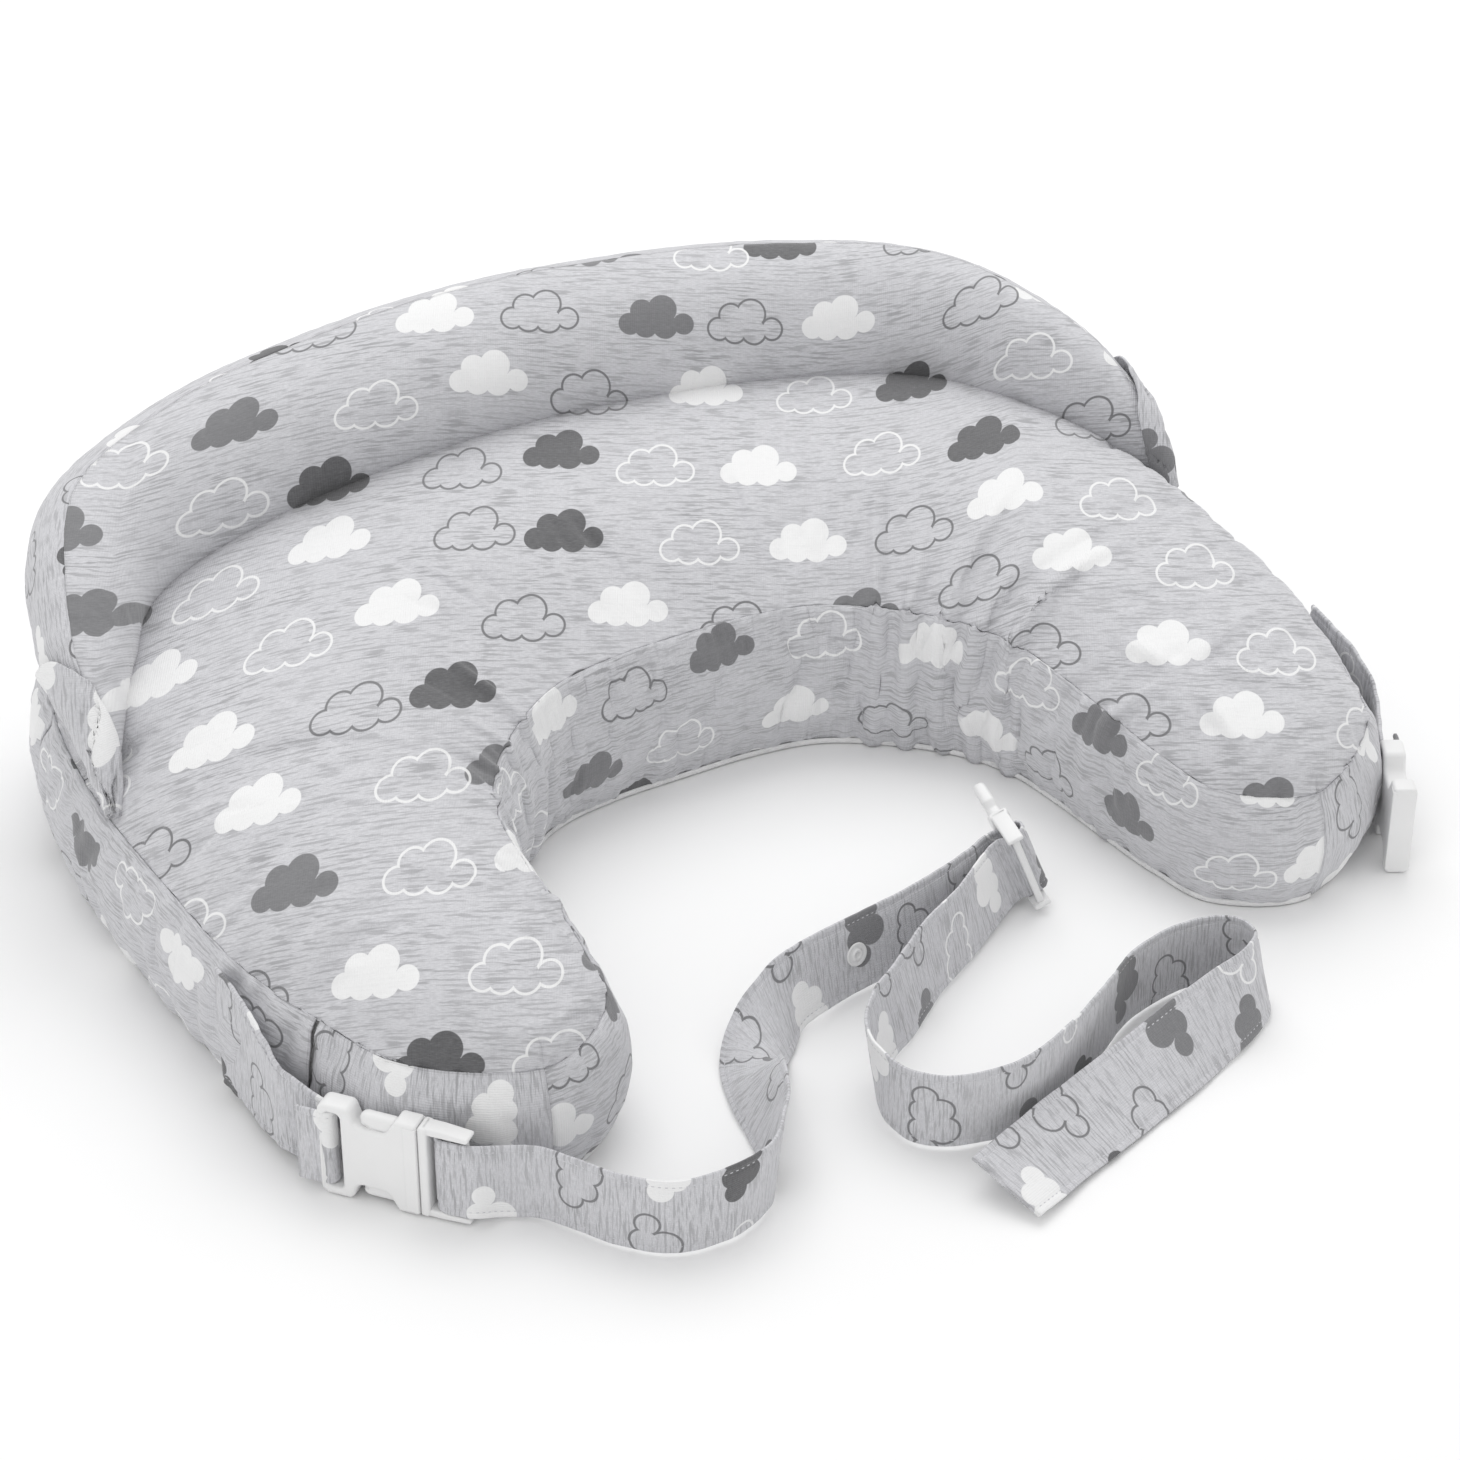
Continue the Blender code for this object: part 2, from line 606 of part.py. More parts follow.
def arm_outline():
    """Half outline of one arm in X and Z: a slim neck, then a rounded pad with its catch."""
    pad = BUCKLE_WIDTH / 2 - 0.0020
    neck = CAVITY_HALF - 0.0014
    tip = ARM_ROOT_X - 0.0238
    return [(ARM_ROOT_X, neck - 0.0071), (tip + 0.0008, neck - 0.0076), (tip, neck - 0.0056),
            (tip, pad - 0.0025), (tip + 0.0018, pad), (tip + 0.0120, pad), (tip + 0.0138, neck),
            (ARM_ROOT_X, neck)]


def make_arm(name, frame, sign):
    """One springy arm of a plug: an extruded flat outline."""
    half_t = BUCKLE_THICK / 2 - SOCKET_WALL - FIT
    bm = bmesh.new()
    low = [bm.verts.new((x, -half_t, sign * z)) for x, z in arm_outline()]
    face = bm.faces.new(low)
    grown = bmesh.ops.extrude_face_region(bm, geom=[face])
    moved = [g for g in grown["geom"] if isinstance(g, bmesh.types.BMVert)]
    bmesh.ops.translate(bm, verts=moved, vec=(0.0, 2 * half_t, 0.0))
    bmesh.ops.recalc_face_normals(bm, faces=bm.faces)
    arm = place(add_mesh(name, bm, plastic(name)), frame)
    return pivot(arm, (ARM_ROOT_X, 0.0, sign * ARM_ROOT_Z))


def make_plug(name, frame, bars):
    """Plug body: a shoulder block, a guide tongue, two side rails and the webbing bars.

    bars holds each bar's start along X and its low and high side across the plate.
    """
    start = SOCKET_LENGTH + FIT
    end = bars[-1][0] + BAR + 0.0005
    half_w = BUCKLE_WIDTH / 2 - 0.0008
    half_t = BUCKLE_THICK / 2 - 0.0010
    plug = box(name, (start, -half_t, -half_w), (end, half_t, half_w), plastic(name))
    bevel(plug, 0.0022)
    place(plug, frame)
    opening = box(name + "_opening", (start + 0.0045, -0.02, -SLOT_HALF), (end + 0.01, 0.02, SLOT_HALF),
                  helper(), CUTTERS)
    place(opening, frame)
    cut(plug, opening)
    joins = [box(name + "_tongue", (SOCKET_LENGTH - 0.027, -0.0028, -0.0050),
                 (start + 0.001, 0.0028, 0.0050), helper(), CUTTERS)]
    reach = SLOT_HALF + 0.001
    for k, (x, low, high) in enumerate(bars):
        joins.append(box(name + "_bar_%d" % k, (x, low, -reach), (x + BAR, high, reach),
                         helper(), CUTTERS))
    for tool in joins:
        place(tool, frame)
        cut(plug, tool, "UNION")
    return plug


# The left socket stands on its long edge beside the left tip, the right one likewise.
SOCKET_Z = BUCKLE_WIDTH / 2 + FLOOR_GAP


def socket_origin(side, station, out):
    """A point off the outer seam, at a socket's middle height."""
    point, normal = outer_at(side * station)
    plan = point + normal * out
    return Vector((plan[0], plan[1], SOCKET_Z))


LEFT_HEADING = Vector((0.62, -0.785, 0.0)).normalized()
RIGHT_HEADING = Vector((-0.50, -0.866, 0.0)).normalized()
LEFT_SOCKET = buckle_frame(socket_origin(-1, 8.40, 0.0225), LEFT_HEADING, (0, 0, 1))
RIGHT_SOCKET = buckle_frame(socket_origin(1, 8.67, 0.0157), RIGHT_HEADING, (0, 0, 1))

# Fixed plug: the belt is sewn in a loop round the first bar and lies over the second.
FIXED_BARS = [(SOCKET_LENGTH + 0.0110, -0.0012, 0.0026),
              (SOCKET_LENGTH + 0.0205, -0.0012, 0.0026)]
# Adjusting plug: the belt turns round the first bar and leaves inside the second.
LADDER_BARS = [(SOCKET_LENGTH + 0.0115, -0.0020, 0.0020),
               (SOCKET_LENGTH + 0.0220, -0.0030, 0.0030)]

# The belt lies as one group from the left plug's end, whose X and Y these are.
PLUG_END = LEFT_SOCKET @ Vector((SOCKET_LENGTH + 0.0240, 0.0, 0.0))

# Where the adjusting plug lies, as measured from the left plug's end.
LADDER_ARMS = Vector((0.22, 0.975, 0.0)).normalized()
LADDER_WIDTH = Vector((-0.352, 0.081, 0.933))
LADDER_POINT = PLUG_END + Vector((0.362, 0.073, 0.0))


def ladder_frame():
    """Frame of the adjusting plug: it leans on one corner, with its arms to the back."""
    frame = buckle_frame((0, 0, 0), -LADDER_ARMS, LADDER_WIDTH)
    bar = frame @ Vector((LADDER_BARS[-1][0] + BAR / 2, 0.0, 0.0))
    lean = frame.to_3x3()
    reach = abs(lean[2][2]) * BUCKLE_WIDTH / 2 + abs(lean[2][1]) * BUCKLE_THICK / 2
    target = Vector((LADDER_POINT.x, LADDER_POINT.y, reach + FLOOR_GAP))
    return Matrix.Translation(target - bar) @ frame


LADDER = ladder_frame()


def make_buckles():
    """Both sockets and both plugs with their arms."""
    make_socket("socket_left", LEFT_SOCKET)
    make_socket("socket_right", RIGHT_SOCKET)
    make_plug("plug_left", LEFT_SOCKET, FIXED_BARS)
    make_plug("plug_right", LADDER, LADDER_BARS)
    for plug, frame in (("plug_left", LEFT_SOCKET), ("plug_right", LADDER)):
        make_arm(plug + "_arm_upper", frame, 1)
        make_arm(plug + "_arm_lower", frame, -1)


# ---------------------------------------------------------------- straps and belt
def smooth_path(points, widths, spacing):
    """Catmull-Rom through control points; the width axis turns evenly between them."""
    pts = [np.array(p) for p in points]
    ws = [np.array(w) for w in widths]
    pts = [2 * pts[0] - pts[1]] + pts + [2 * pts[-1] - pts[-2]]
    path, axes = [], []
    for i in range(1, len(pts) - 2):
        length = np.linalg.norm(pts[i + 1] - pts[i])
        steps = max(1, int(math.ceil(length / spacing)))
        for k in range(steps):
            t = k / steps
            path.append(catmull(pts[i - 1], pts[i], pts[i + 1], pts[i + 2], t))
            w = ws[i - 1] * (1 - t) + ws[i] * t
            axes.append(w / np.linalg.norm(w))
    path.append(pts[-2])
    axes.append(ws[-1] / np.linalg.norm(ws[-1]))
    return path, axes


def make_ribbon(name, path, axes, width, thick, mat):
    """A flat strap: a thin rectangle swept along a path."""
    rings = []
    for i, (point, axis) in enumerate(zip(path, axes)):
        ahead = path[min(i + 1, len(path) - 1)] - path[max(i - 1, 0)]
        side = np.cross(ahead, axis)
        side = side / np.linalg.norm(side) * thick / 2
        reach = axis * width / 2
        rings.append([tuple(point + reach + side), tuple(point + reach - side),
                      tuple(point - reach - side), tuple(point - reach + side)])
    return loft_ring(name, rings, mat)


def wrap_points(frame, centre_x, centre_y, radius, start, end, steps):
    """Points on an arc in a buckle's X-Y plane, about one of its bars."""
    out = []
    for k in range(steps + 1):
        a = math.radians(start + (end - start) * k / steps)
        local = Vector((centre_x + radius * math.cos(a), centre_y + radius * math.sin(a), 0.0))
        out.append(tuple(frame @ local))
    return out


def make_anchor(name, side, frame):
    """The strap from the side band to a socket: both plies, looped round the socket's bar."""
    radius = 0.0046
    bar_x = BAR / 2
    inward = side * -1.0
    point, normal = outer_at(side * (BAND_END - 0.55))
    start = np.array([*(point + normal * (WALL_BULGE + 0.0042)), SOCKET_Z])
    near, near_n = outer_at(side * (BAND_END - 0.12))
    middle = np.array([*(near + near_n * (WALL_BULGE + 0.0075)), SOCKET_Z])
    # The loop comes in on the pillow's side, turns round the bar and lies back outside.
    facing = 1 if side < 0 else -1
    loop = wrap_points(frame, bar_x, 0.0, radius, facing * 115, facing * -115, 6)
    back = frame @ Vector((bar_x - 0.012, facing * -0.0042, 0.0))
    points = [tuple(start), tuple(middle)] + loop + [tuple(back)]
    widths = [(0, 0, 1)] * len(points)
    path, axes = smooth_path(points, widths, 0.012)
    return make_ribbon(name, path, axes, BELT_WIDTH, STRAP_THICK, cloth(name))


def lean_axis(heading, roll):
    """Width axis of a belt that runs along a heading and is rolled to its right."""
    right = Vector((heading[1], -heading[0], 0.0)).normalized()
    a = math.radians(roll)
    return Vector((0, 0, 1)) * math.cos(a) + right * math.sin(a)


def belt_route():
    """The belt's control points and width axes, in order from the left plug.

    A floor point is X and Y measured from the left plug's end, and a roll: 0 stands on
    its edge, 90 lies flat, 180 stands the other way up after the half twist.
    """
    ladder = LADDER
    plug = LEFT_SOCKET
    up = Vector((0, 0, 1))
    bar_x = FIXED_BARS[0][0] + BAR / 2
    bar_y = (FIXED_BARS[0][1] + FIXED_BARS[0][2]) / 2
    turn = 0.0046
    points = [plug @ Vector((bar_x + x, bar_y + turn, 0.0)) for x in (0.0060, 0.0020)]
    points += [Vector(p) for p in wrap_points(plug, bar_x, bar_y, turn, 90, 270, 6)]
    points += [plug @ Vector((bar_x + x, y, 0.0)) for x, y in
               ((0.0030, -0.0039), (0.0080, -0.0039), (0.0150, -0.0030))]
    widths = [up] * len(points)

    def stand(x, y, axis):
        z = max(abs(axis.z) * BELT_WIDTH / 2, 0.010) + FLOOR_GAP + BELT_THICK / 2
        points.append(Vector((PLUG_END.x + x, PLUG_END.y + y, z)))
        widths.append(axis)

    def floor(run):
        for i, (x, y, roll) in enumerate(run):
            before = run[max(i - 1, 0)]
            after = run[min(i + 1, len(run) - 1)]
            heading = (after[0] - before[0], after[1] - before[1])
            stand(x, y, lean_axis(heading, roll))

    floor([(0.014, -0.006, 0), (0.028, -0.015, 0), (0.040, -0.033, 0), (0.051, -0.051, 0),
           (0.071, -0.069, 0), (0.098, -0.073, 0), (0.122, -0.066, 4)])
    # The half twist: the width axis swings over from up to down.
    for x, y, axis in ((0.136, -0.052, (0.15, 0.05, 0.98)), (0.145, -0.034, (0.35, 0.0, 0.94)),
                       (0.152, -0.014, (0.45, -0.10, 0.88)), (0.158, 0.006, (0.45, -0.45, 0.77)),
                       (0.166, 0.024, (0.35, -0.80, 0.48)), (0.178, 0.037, (0.15, -0.98, -0.10)),
                       (0.193, 0.046, (0.0, -0.75, -0.66)), (0.212, 0.054, (0.0, -0.30, -0.95))):
        stand(x, y, Vector(axis).normalized())
    floor([(0.244, 0.061, 170), (0.276, 0.066, 168), (0.308, 0.073, 168), (0.334, 0.082, 172)])

    # Through the adjusting plug and back.
    mean_x = LADDER_BARS[0][0] + BAR / 2
    turn = 0.0046
    down = -(ladder.to_3x3() @ Vector((0, 0, 1)))
    for x, y in ((mean_x - turn, -0.0120), (mean_x - turn, -0.0030)):
        points.append(ladder @ Vector((x, y, 0.0)))
        widths.append(down)
    for p in wrap_points(ladder, mean_x, 0.0035, turn, 180, 0, 5):
        points.append(Vector(p))
        widths.append(down)
    for x, y in ((mean_x + turn, -0.0030), (mean_x + turn, -0.0120)):
        points.append(ladder @ Vector((x, y, 0.0)))
        widths.append(down)

    floor([(0.312, 0.056, 192), (0.282, 0.040, 194), (0.251, 0.018, 196), (0.233, 0.007, 194),
           (0.216, -0.008, 190), (0.207, -0.025, 186), (0.205, -0.042, 182), (0.209, -0.057, 180),
           (0.223, -0.069, 180), (0.247, -0.075, 180), (0.270, -0.072, 180), (0.300, -0.060, 180),
           (0.328, -0.045, 180), (0.353, -0.031, 180), (0.380, -0.024, 180), (0.401, -0.025, 181),
           (0.415, -0.032, 184), (0.421, -0.046, 190), (0.410, -0.060, 200), (0.377, -0.070, 216),
           (0.328, -0.084, 232), (0.270, -0.100, 244), (0.221, -0.117, 252)])
    return [tuple(p) for p in points], [tuple(w) for w in widths]


def make_belt():
    """The belt with its snap, which sits on the run behind the half twist."""
    points, widths = belt_route()
    path, axes = smooth_path(points, widths, 0.0125)
    make_ribbon("belt", path, axes, BELT_WIDTH, BELT_THICK, cloth("belt"))

    target = np.array([PLUG_END.x + 0.250, PLUG_END.y + 0.062])
    k = min(range(len(path)), key=lambda i: np.hypot(*(path[i][:2] - target)))
    middle = (path[k] + path[k + 1]) / 2
    ahead = path[k + 1] - path[k]
    side = np.cross(ahead, axes[k])
    side = Vector(side / np.linalg.norm(side))
    for name, sign in (("snap_socket", -1), ("snap_cap", 1)):
        lift = BELT_THICK / 2 + 0.0004 + SNAP_THICK / 2
        centre = Vector(middle) + side * sign * lift
        disc = cylinder(name, centre, side * sign, SNAP_RADIUS, SNAP_THICK, plastic(name), segments=24)
        if name == "snap_socket":
            well = cylinder("snap_well", centre + side * sign * SNAP_THICK * 0.6, side * sign,
                            SNAP_RADIUS * 0.42, SNAP_THICK, helper(), CUTTERS, segments=16)
            cut(disc, well)


make_cushion()
make_fence()
make_zip()
make_buckles()
make_anchor("anchor_strap_left", -1, LEFT_SOCKET)
make_anchor("anchor_strap_right", 1, RIGHT_SOCKET)
make_belt()
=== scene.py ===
"""Nursing pillow: the fabric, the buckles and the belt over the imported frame.

Metres, +Z up, in the frame's own axes: +Y to the fence, -Y to the tips of the arms.
"""
import math

import bmesh
import bpy
import numpy as np
from mathutils import Matrix, Vector
from mathutils.noise import noise


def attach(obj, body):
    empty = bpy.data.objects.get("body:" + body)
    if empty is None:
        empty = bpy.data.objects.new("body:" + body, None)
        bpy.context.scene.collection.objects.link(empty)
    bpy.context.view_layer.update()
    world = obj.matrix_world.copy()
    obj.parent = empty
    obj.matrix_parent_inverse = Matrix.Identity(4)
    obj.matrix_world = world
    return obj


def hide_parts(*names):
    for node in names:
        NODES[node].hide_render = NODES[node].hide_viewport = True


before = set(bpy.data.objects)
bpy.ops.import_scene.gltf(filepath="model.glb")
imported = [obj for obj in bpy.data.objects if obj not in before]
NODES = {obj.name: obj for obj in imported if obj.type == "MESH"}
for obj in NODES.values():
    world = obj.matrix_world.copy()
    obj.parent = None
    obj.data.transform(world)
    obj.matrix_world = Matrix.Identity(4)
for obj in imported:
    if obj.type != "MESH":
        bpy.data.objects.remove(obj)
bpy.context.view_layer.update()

# ---------------------------------------------------------------- the model's sizes
HALF_WIDTH = 0.327
BACK_Y = 0.310
BACK_RADIUS = 0.560
TIP_Y = -0.228
TIP_X = 0.226
WAIST_Y = 0.037
WAIST_HALF = 0.170
SEAM_BACK = 0.092
SEAM_TIP = 0.066
CROWN = 0.038
WALL_BULGE = 0.008
FENCE_HALF_WIDTH = 0.046
FENCE_HALF_HEIGHT = 0.045
FENCE_CENTRE_Z = 0.149
FENCE_PROUD = 0.004
FENCE_LAST = 5.05
FENCE_LIFT = 0.0016
COVER = 0.0014
ZIP_HALF_LENGTH = 0.150
ZIP_HEIGHT = 0.046
BELT_WIDTH = 0.043
BELT_THICK = 0.0020
BUCKLE_WIDTH = 0.053
Y_SHIFT = -0.0413
STATIONS = 10.0
BAND_END = 8.0
BAND_BACK = 4.0

# ---------------------------------------------------------------- camera
AZIMUTH = math.radians(-30.5)
ELEVATION = math.radians(33.0)
TARGET = Vector((0.0, -0.05625, 0.060))
BACK = Vector((math.sin(AZIMUTH) * math.cos(ELEVATION), -math.cos(AZIMUTH) * math.cos(ELEVATION),
               math.sin(ELEVATION)))
RIGHT = Vector((math.cos(AZIMUTH), math.sin(AZIMUTH), 0.0))
UP = BACK.cross(RIGHT)


def make_camera():
    """The camera, at the angle and distance that the object is seen from."""
    data = bpy.data.cameras.new("camera")
    data.lens = 92.7
    cam = bpy.data.objects.new("camera", data)
    turn = Matrix((RIGHT, UP, BACK)).transposed().to_4x4()
    cam.matrix_world = Matrix.Translation(TARGET + BACK * 2.0) @ turn
    bpy.context.scene.collection.objects.link(cam)
    bpy.context.scene.camera = cam


make_camera()
bpy.context.scene.view_settings.view_transform = "Standard"

# ---------------------------------------------------------------- outline of the cushion


def outer_points():
    """Control points of the outer seam, from the back's middle to the right tip."""
    arc = [math.radians(a) for a in (0.0, 10.8, 21.4)]
    points = [(BACK_RADIUS * math.sin(a), BACK_Y - BACK_RADIUS * (1 - math.cos(a))) for a in arc]
    points += [(HALF_WIDTH - 0.045, BACK_Y - 0.088), (HALF_WIDTH - 0.011, BACK_Y - 0.165),
               (HALF_WIDTH, BACK_Y - 0.245), (HALF_WIDTH - 0.001, TIP_Y + 0.213),
               (HALF_WIDTH - 0.007, TIP_Y + 0.136), (HALF_WIDTH - 0.024, TIP_Y + 0.076),
               (HALF_WIDTH - 0.045, TIP_Y + 0.031), (TIP_X, TIP_Y)]
    return points


def inner_points():
    """Control points of the inner seam, matched one to one with the outer seam's."""
    return [(0.0, WAIST_Y), (WAIST_HALF - 0.125, WAIST_Y - 0.001),
            (WAIST_HALF - 0.086, WAIST_Y - 0.009), (WAIST_HALF - 0.052, WAIST_Y - 0.032),
            (WAIST_HALF - 0.025, WAIST_Y - 0.061), (WAIST_HALF - 0.011, WAIST_Y - 0.092),
            (WAIST_HALF - 0.006, TIP_Y + 0.138), (WAIST_HALF - 0.003, TIP_Y + 0.098),
            (WAIST_HALF + 0.001, TIP_Y + 0.058), (WAIST_HALF + 0.012, TIP_Y + 0.021),
            (TIP_X, TIP_Y)]


def catmull(p0, p1, p2, p3, t):
    """Point at t of the Catmull-Rom span from p1 to p2."""
    return 0.5 * (2 * p1 + (p2 - p0) * t + (2 * p0 - 5 * p1 + 4 * p2 - p3) * t ** 2
                  + (3 * p1 - p0 - 3 * p2 + p3) * t ** 3)


OUTER = np.array(outer_points())
INNER = np.array(inner_points())
MIRROR = np.array([-1.0, 1.0])
LOOP = np.vstack([OUTER[:0:-1] * MIRROR, OUTER, INNER[-2::-1], INNER[1:-1] * MIRROR])
LOOP_COUNT = len(LOOP)


def loop_point(t):
    """Point of the closed outline at loop parameter t, 0 at the left tip."""
    i = int(math.floor(t))
    p = [LOOP[(i + k) % LOOP_COUNT] for k in (-1, 0, 1, 2)]
    return catmull(p[0], p[1], p[2], p[3], t - i)


def loop_normal(t):
    """Outward normal of the outline at loop parameter t."""
    d = loop_point(t + 0.02) - loop_point(t - 0.02)
    return np.array([-d[1], d[0]]) / math.hypot(d[0], d[1])


def outer_at(station):
    """Outer seam point and normal at a signed station."""
    return loop_point(station + STATIONS), loop_normal(station + STATIONS)


def inner_at(station):
    """Inner seam point and the normal that points to the wearer."""
    return loop_point(3 * STATIONS - station), loop_normal(3 * STATIONS - station)


def seam_height(station):
    """Height of the top seam."""
    return SEAM_BACK + (SEAM_TIP - SEAM_BACK) * (abs(station) / STATIONS) ** 1.5


def crown_height(station):
    """Rise of the stuffed top over its seam."""
    return CROWN * math.sqrt(max(0.0, 1 - (abs(station) / STATIONS) ** 6))


def run_length(points):
    """Distance along a row of points, from the first to each of them."""
    return np.concatenate([[0.0], np.cumsum(np.linalg.norm(np.diff(points, axis=0), axis=1))])


def even_stations(count, first=-STATIONS, last=STATIONS):
    """Stations at even distances along the outer seam."""
    fine = np.linspace(first, last, 800)
    run = run_length(np.array([outer_at(s)[0] for s in fine]))
    return np.interp(np.linspace(0.0, run[-1], count), run, fine)


def lump(x, y, z, scale, seed):
    """Smooth repeatable noise from -1 to 1."""
    return noise(Vector((x * scale + seed * 7.3, y * scale - seed * 3.1, z * scale + seed)))


# ---------------------------------------------------------------- node materials


class Tree:
    """Shorthand for building one shader tree."""

    def __init__(self, name):
        self.mat = bpy.data.materials.new(name)
        self.mat.use_nodes = True
        self.nodes = self.mat.node_tree.nodes
        self.links = self.mat.node_tree.links
        self.shader = self.nodes["Principled BSDF"]

    def wire(self, value, socket):
        if isinstance(value, bpy.types.NodeSocket):
            self.links.new(value, socket)
        elif value is not None:
            socket.default_value = value

    def math(self, op, a, b=None, c=None):
        node = self.nodes.new("ShaderNodeMath")
        node.operation = op
        for value, socket in zip((a, b, c), node.inputs):
            self.wire(value, socket)
        return node.outputs[0]

    def vec(self, op, a, b=None, scale=None):
        node = self.nodes.new("ShaderNodeVectorMath")
        node.operation = op
        self.wire(a, node.inputs[0])
        self.wire(b, node.inputs[1])
        if scale is not None:
            self.wire(scale, node.inputs["Scale"])
        return node.outputs["Value"] if op in ("DISTANCE", "LENGTH", "DOT_PRODUCT") else node.outputs[0]

    def xyz(self, x, y, z=0.0):
        node = self.nodes.new("ShaderNodeCombineXYZ")
        for value, socket in zip((x, y, z), node.inputs):
            self.wire(value, socket)
        return node.outputs[0]

    def split(self, vector):
        node = self.nodes.new("ShaderNodeSeparateXYZ")
        self.wire(vector, node.inputs[0])
        return node.outputs

    def uv(self):
        node = self.nodes.new("ShaderNodeUVMap")
        node.uv_map = "print"
        return node.outputs[0]

    def place(self):
        return self.nodes.new("ShaderNodeTexCoord").outputs["Object"]

    def noise(self, vector, scale, detail=3.0, rough=0.55, distortion=0.0):
        node = self.nodes.new("ShaderNodeTexNoise")
        self.wire(vector, node.inputs["Vector"])
        node.inputs["Scale"].default_value = scale
        node.inputs["Detail"].default_value = detail
        node.inputs["Roughness"].default_value = rough
        node.inputs["Distortion"].default_value = distortion
        return node.outputs["Fac"]

    def white(self, vector):
        node = self.nodes.new("ShaderNodeTexWhiteNoise")
        self.wire(vector, node.inputs["Vector"])
        return self.split(node.outputs["Color"])

    def ramp(self, value, low, high, out_low=0.0, out_high=1.0):
        node = self.nodes.new("ShaderNodeMapRange")
        for k, v in enumerate((value, low, high, out_low, out_high)):
            self.wire(v, node.inputs[k])
        return node.outputs[0]

    def mix(self, fac, a, b):
        node = self.nodes.new("ShaderNodeMix")
        node.data_type = "RGBA"
        self.wire(fac, node.inputs["Factor"])
        self.wire(a, node.inputs[6])
        self.wire(b, node.inputs[7])
        return node.outputs[2]

    def bump(self, height, distance, strength=1.0, under=None):
        node = self.nodes.new("ShaderNodeBump")
        self.wire(height, node.inputs["Height"])
        node.inputs["Distance"].default_value = distance
        node.inputs["Strength"].default_value = strength
        if under is not None:
            self.links.new(under, node.inputs["Normal"])
        return node.outputs[0]

    def finish(self, colour, rough, normal=None, sheen=0.0, specular=0.5):
        self.wire(colour, self.shader.inputs["Base Color"])
        self.wire(rough, self.shader.inputs["Roughness"])
        self.shader.inputs["Sheen Weight"].default_value = sheen
        self.shader.inputs["Sheen Roughness"].default_value = 0.6
        self.shader.inputs["Specular IOR Level"].default_value = specular
        if normal is not None:
            self.links.new(normal, self.shader.inputs["Normal"])
        return self.mat


def grey(v, blue=1.04):
    """A neutral colour with a trace of blue."""
    return (v, v, v * blue, 1.0)


# A cloud is a union of circles: centre and radius in metres.
LOBES = ((-0.0155, -0.0045, 0.0062), (-0.0065, -0.0052, 0.0068), (0.0045, -0.0050, 0.0072),
         (0.0150, -0.0035, 0.0060), (-0.0085, 0.0030, 0.0068), (0.0030, 0.0045, 0.0082))
CELL = (0.122, 0.043)      # one cloud of each kind in this much cloth
LINE = 0.0006              # half width of a drawn outline


def cloud_field(t, u, v, shift, seed):
    """Distance to the nearest cloud's edge in one layer, and its random numbers."""
    v = t.math("ADD", v, shift[1])
    row = t.math("FLOOR", t.math("DIVIDE", v, CELL[1]))
    step = t.math("MULTIPLY", t.math("FLOORED_MODULO", row, 4.0), CELL[0] * 0.29)
    u = t.math("ADD", t.math("ADD", u, shift[0]), step)
    col = t.math("FLOOR", t.math("DIVIDE", u, CELL[0]))
    rand = t.white(t.xyz(col, row, seed))
    x = t.math("SUBTRACT", u, t.math("MULTIPLY", t.math("ADD", col, 0.5), CELL[0]))
    y = t.math("SUBTRACT", v, t.math("MULTIPLY", t.math("ADD", row, 0.5), CELL[1]))
    x = t.math("ADD", x, t.ramp(rand[1], 0.0, 1.0, -0.010, 0.010))
    y = t.math("ADD", y, t.ramp(rand[2], 0.0, 1.0, -0.006, 0.006))
    point = t.xyz(x, y, 0.0)
    edge = None
    for cx, cy, r in LOBES:
        away = t.math("SUBTRACT", t.vec("DISTANCE", point, (cx, cy, 0.0)), r)
        edge = away if edge is None else t.math("MINIMUM", edge, away)
    return edge, rand[0]


def heather(t, u, v, light, dark):
    """Heathered knit: short fibres of two greys that run along u."""
    streak = t.noise(t.xyz(t.math("MULTIPLY", u, 0.085), v, 0.0), 800.0, 2.0, 0.5)
    fine = t.noise(t.xyz(t.math("MULTIPLY", u, 0.16), v, 3.0), 2200.0, 2.0, 0.5)
    soft = t.noise(t.xyz(t.math("MULTIPLY", u, 0.4), v, 6.0), 60.0, 2.0, 0.5)
    dash = t.math("MULTIPLY", t.ramp(streak, 0.50, 0.60), t.ramp(soft, 0.3, 0.7, 0.35, 1.0))
    base = t.mix(t.ramp(fine, 0.35, 0.65, 0.0, 0.38), light, dark)
    return t.mix(t.math("MULTIPLY", dash, 0.85), base, dark), streak, fine


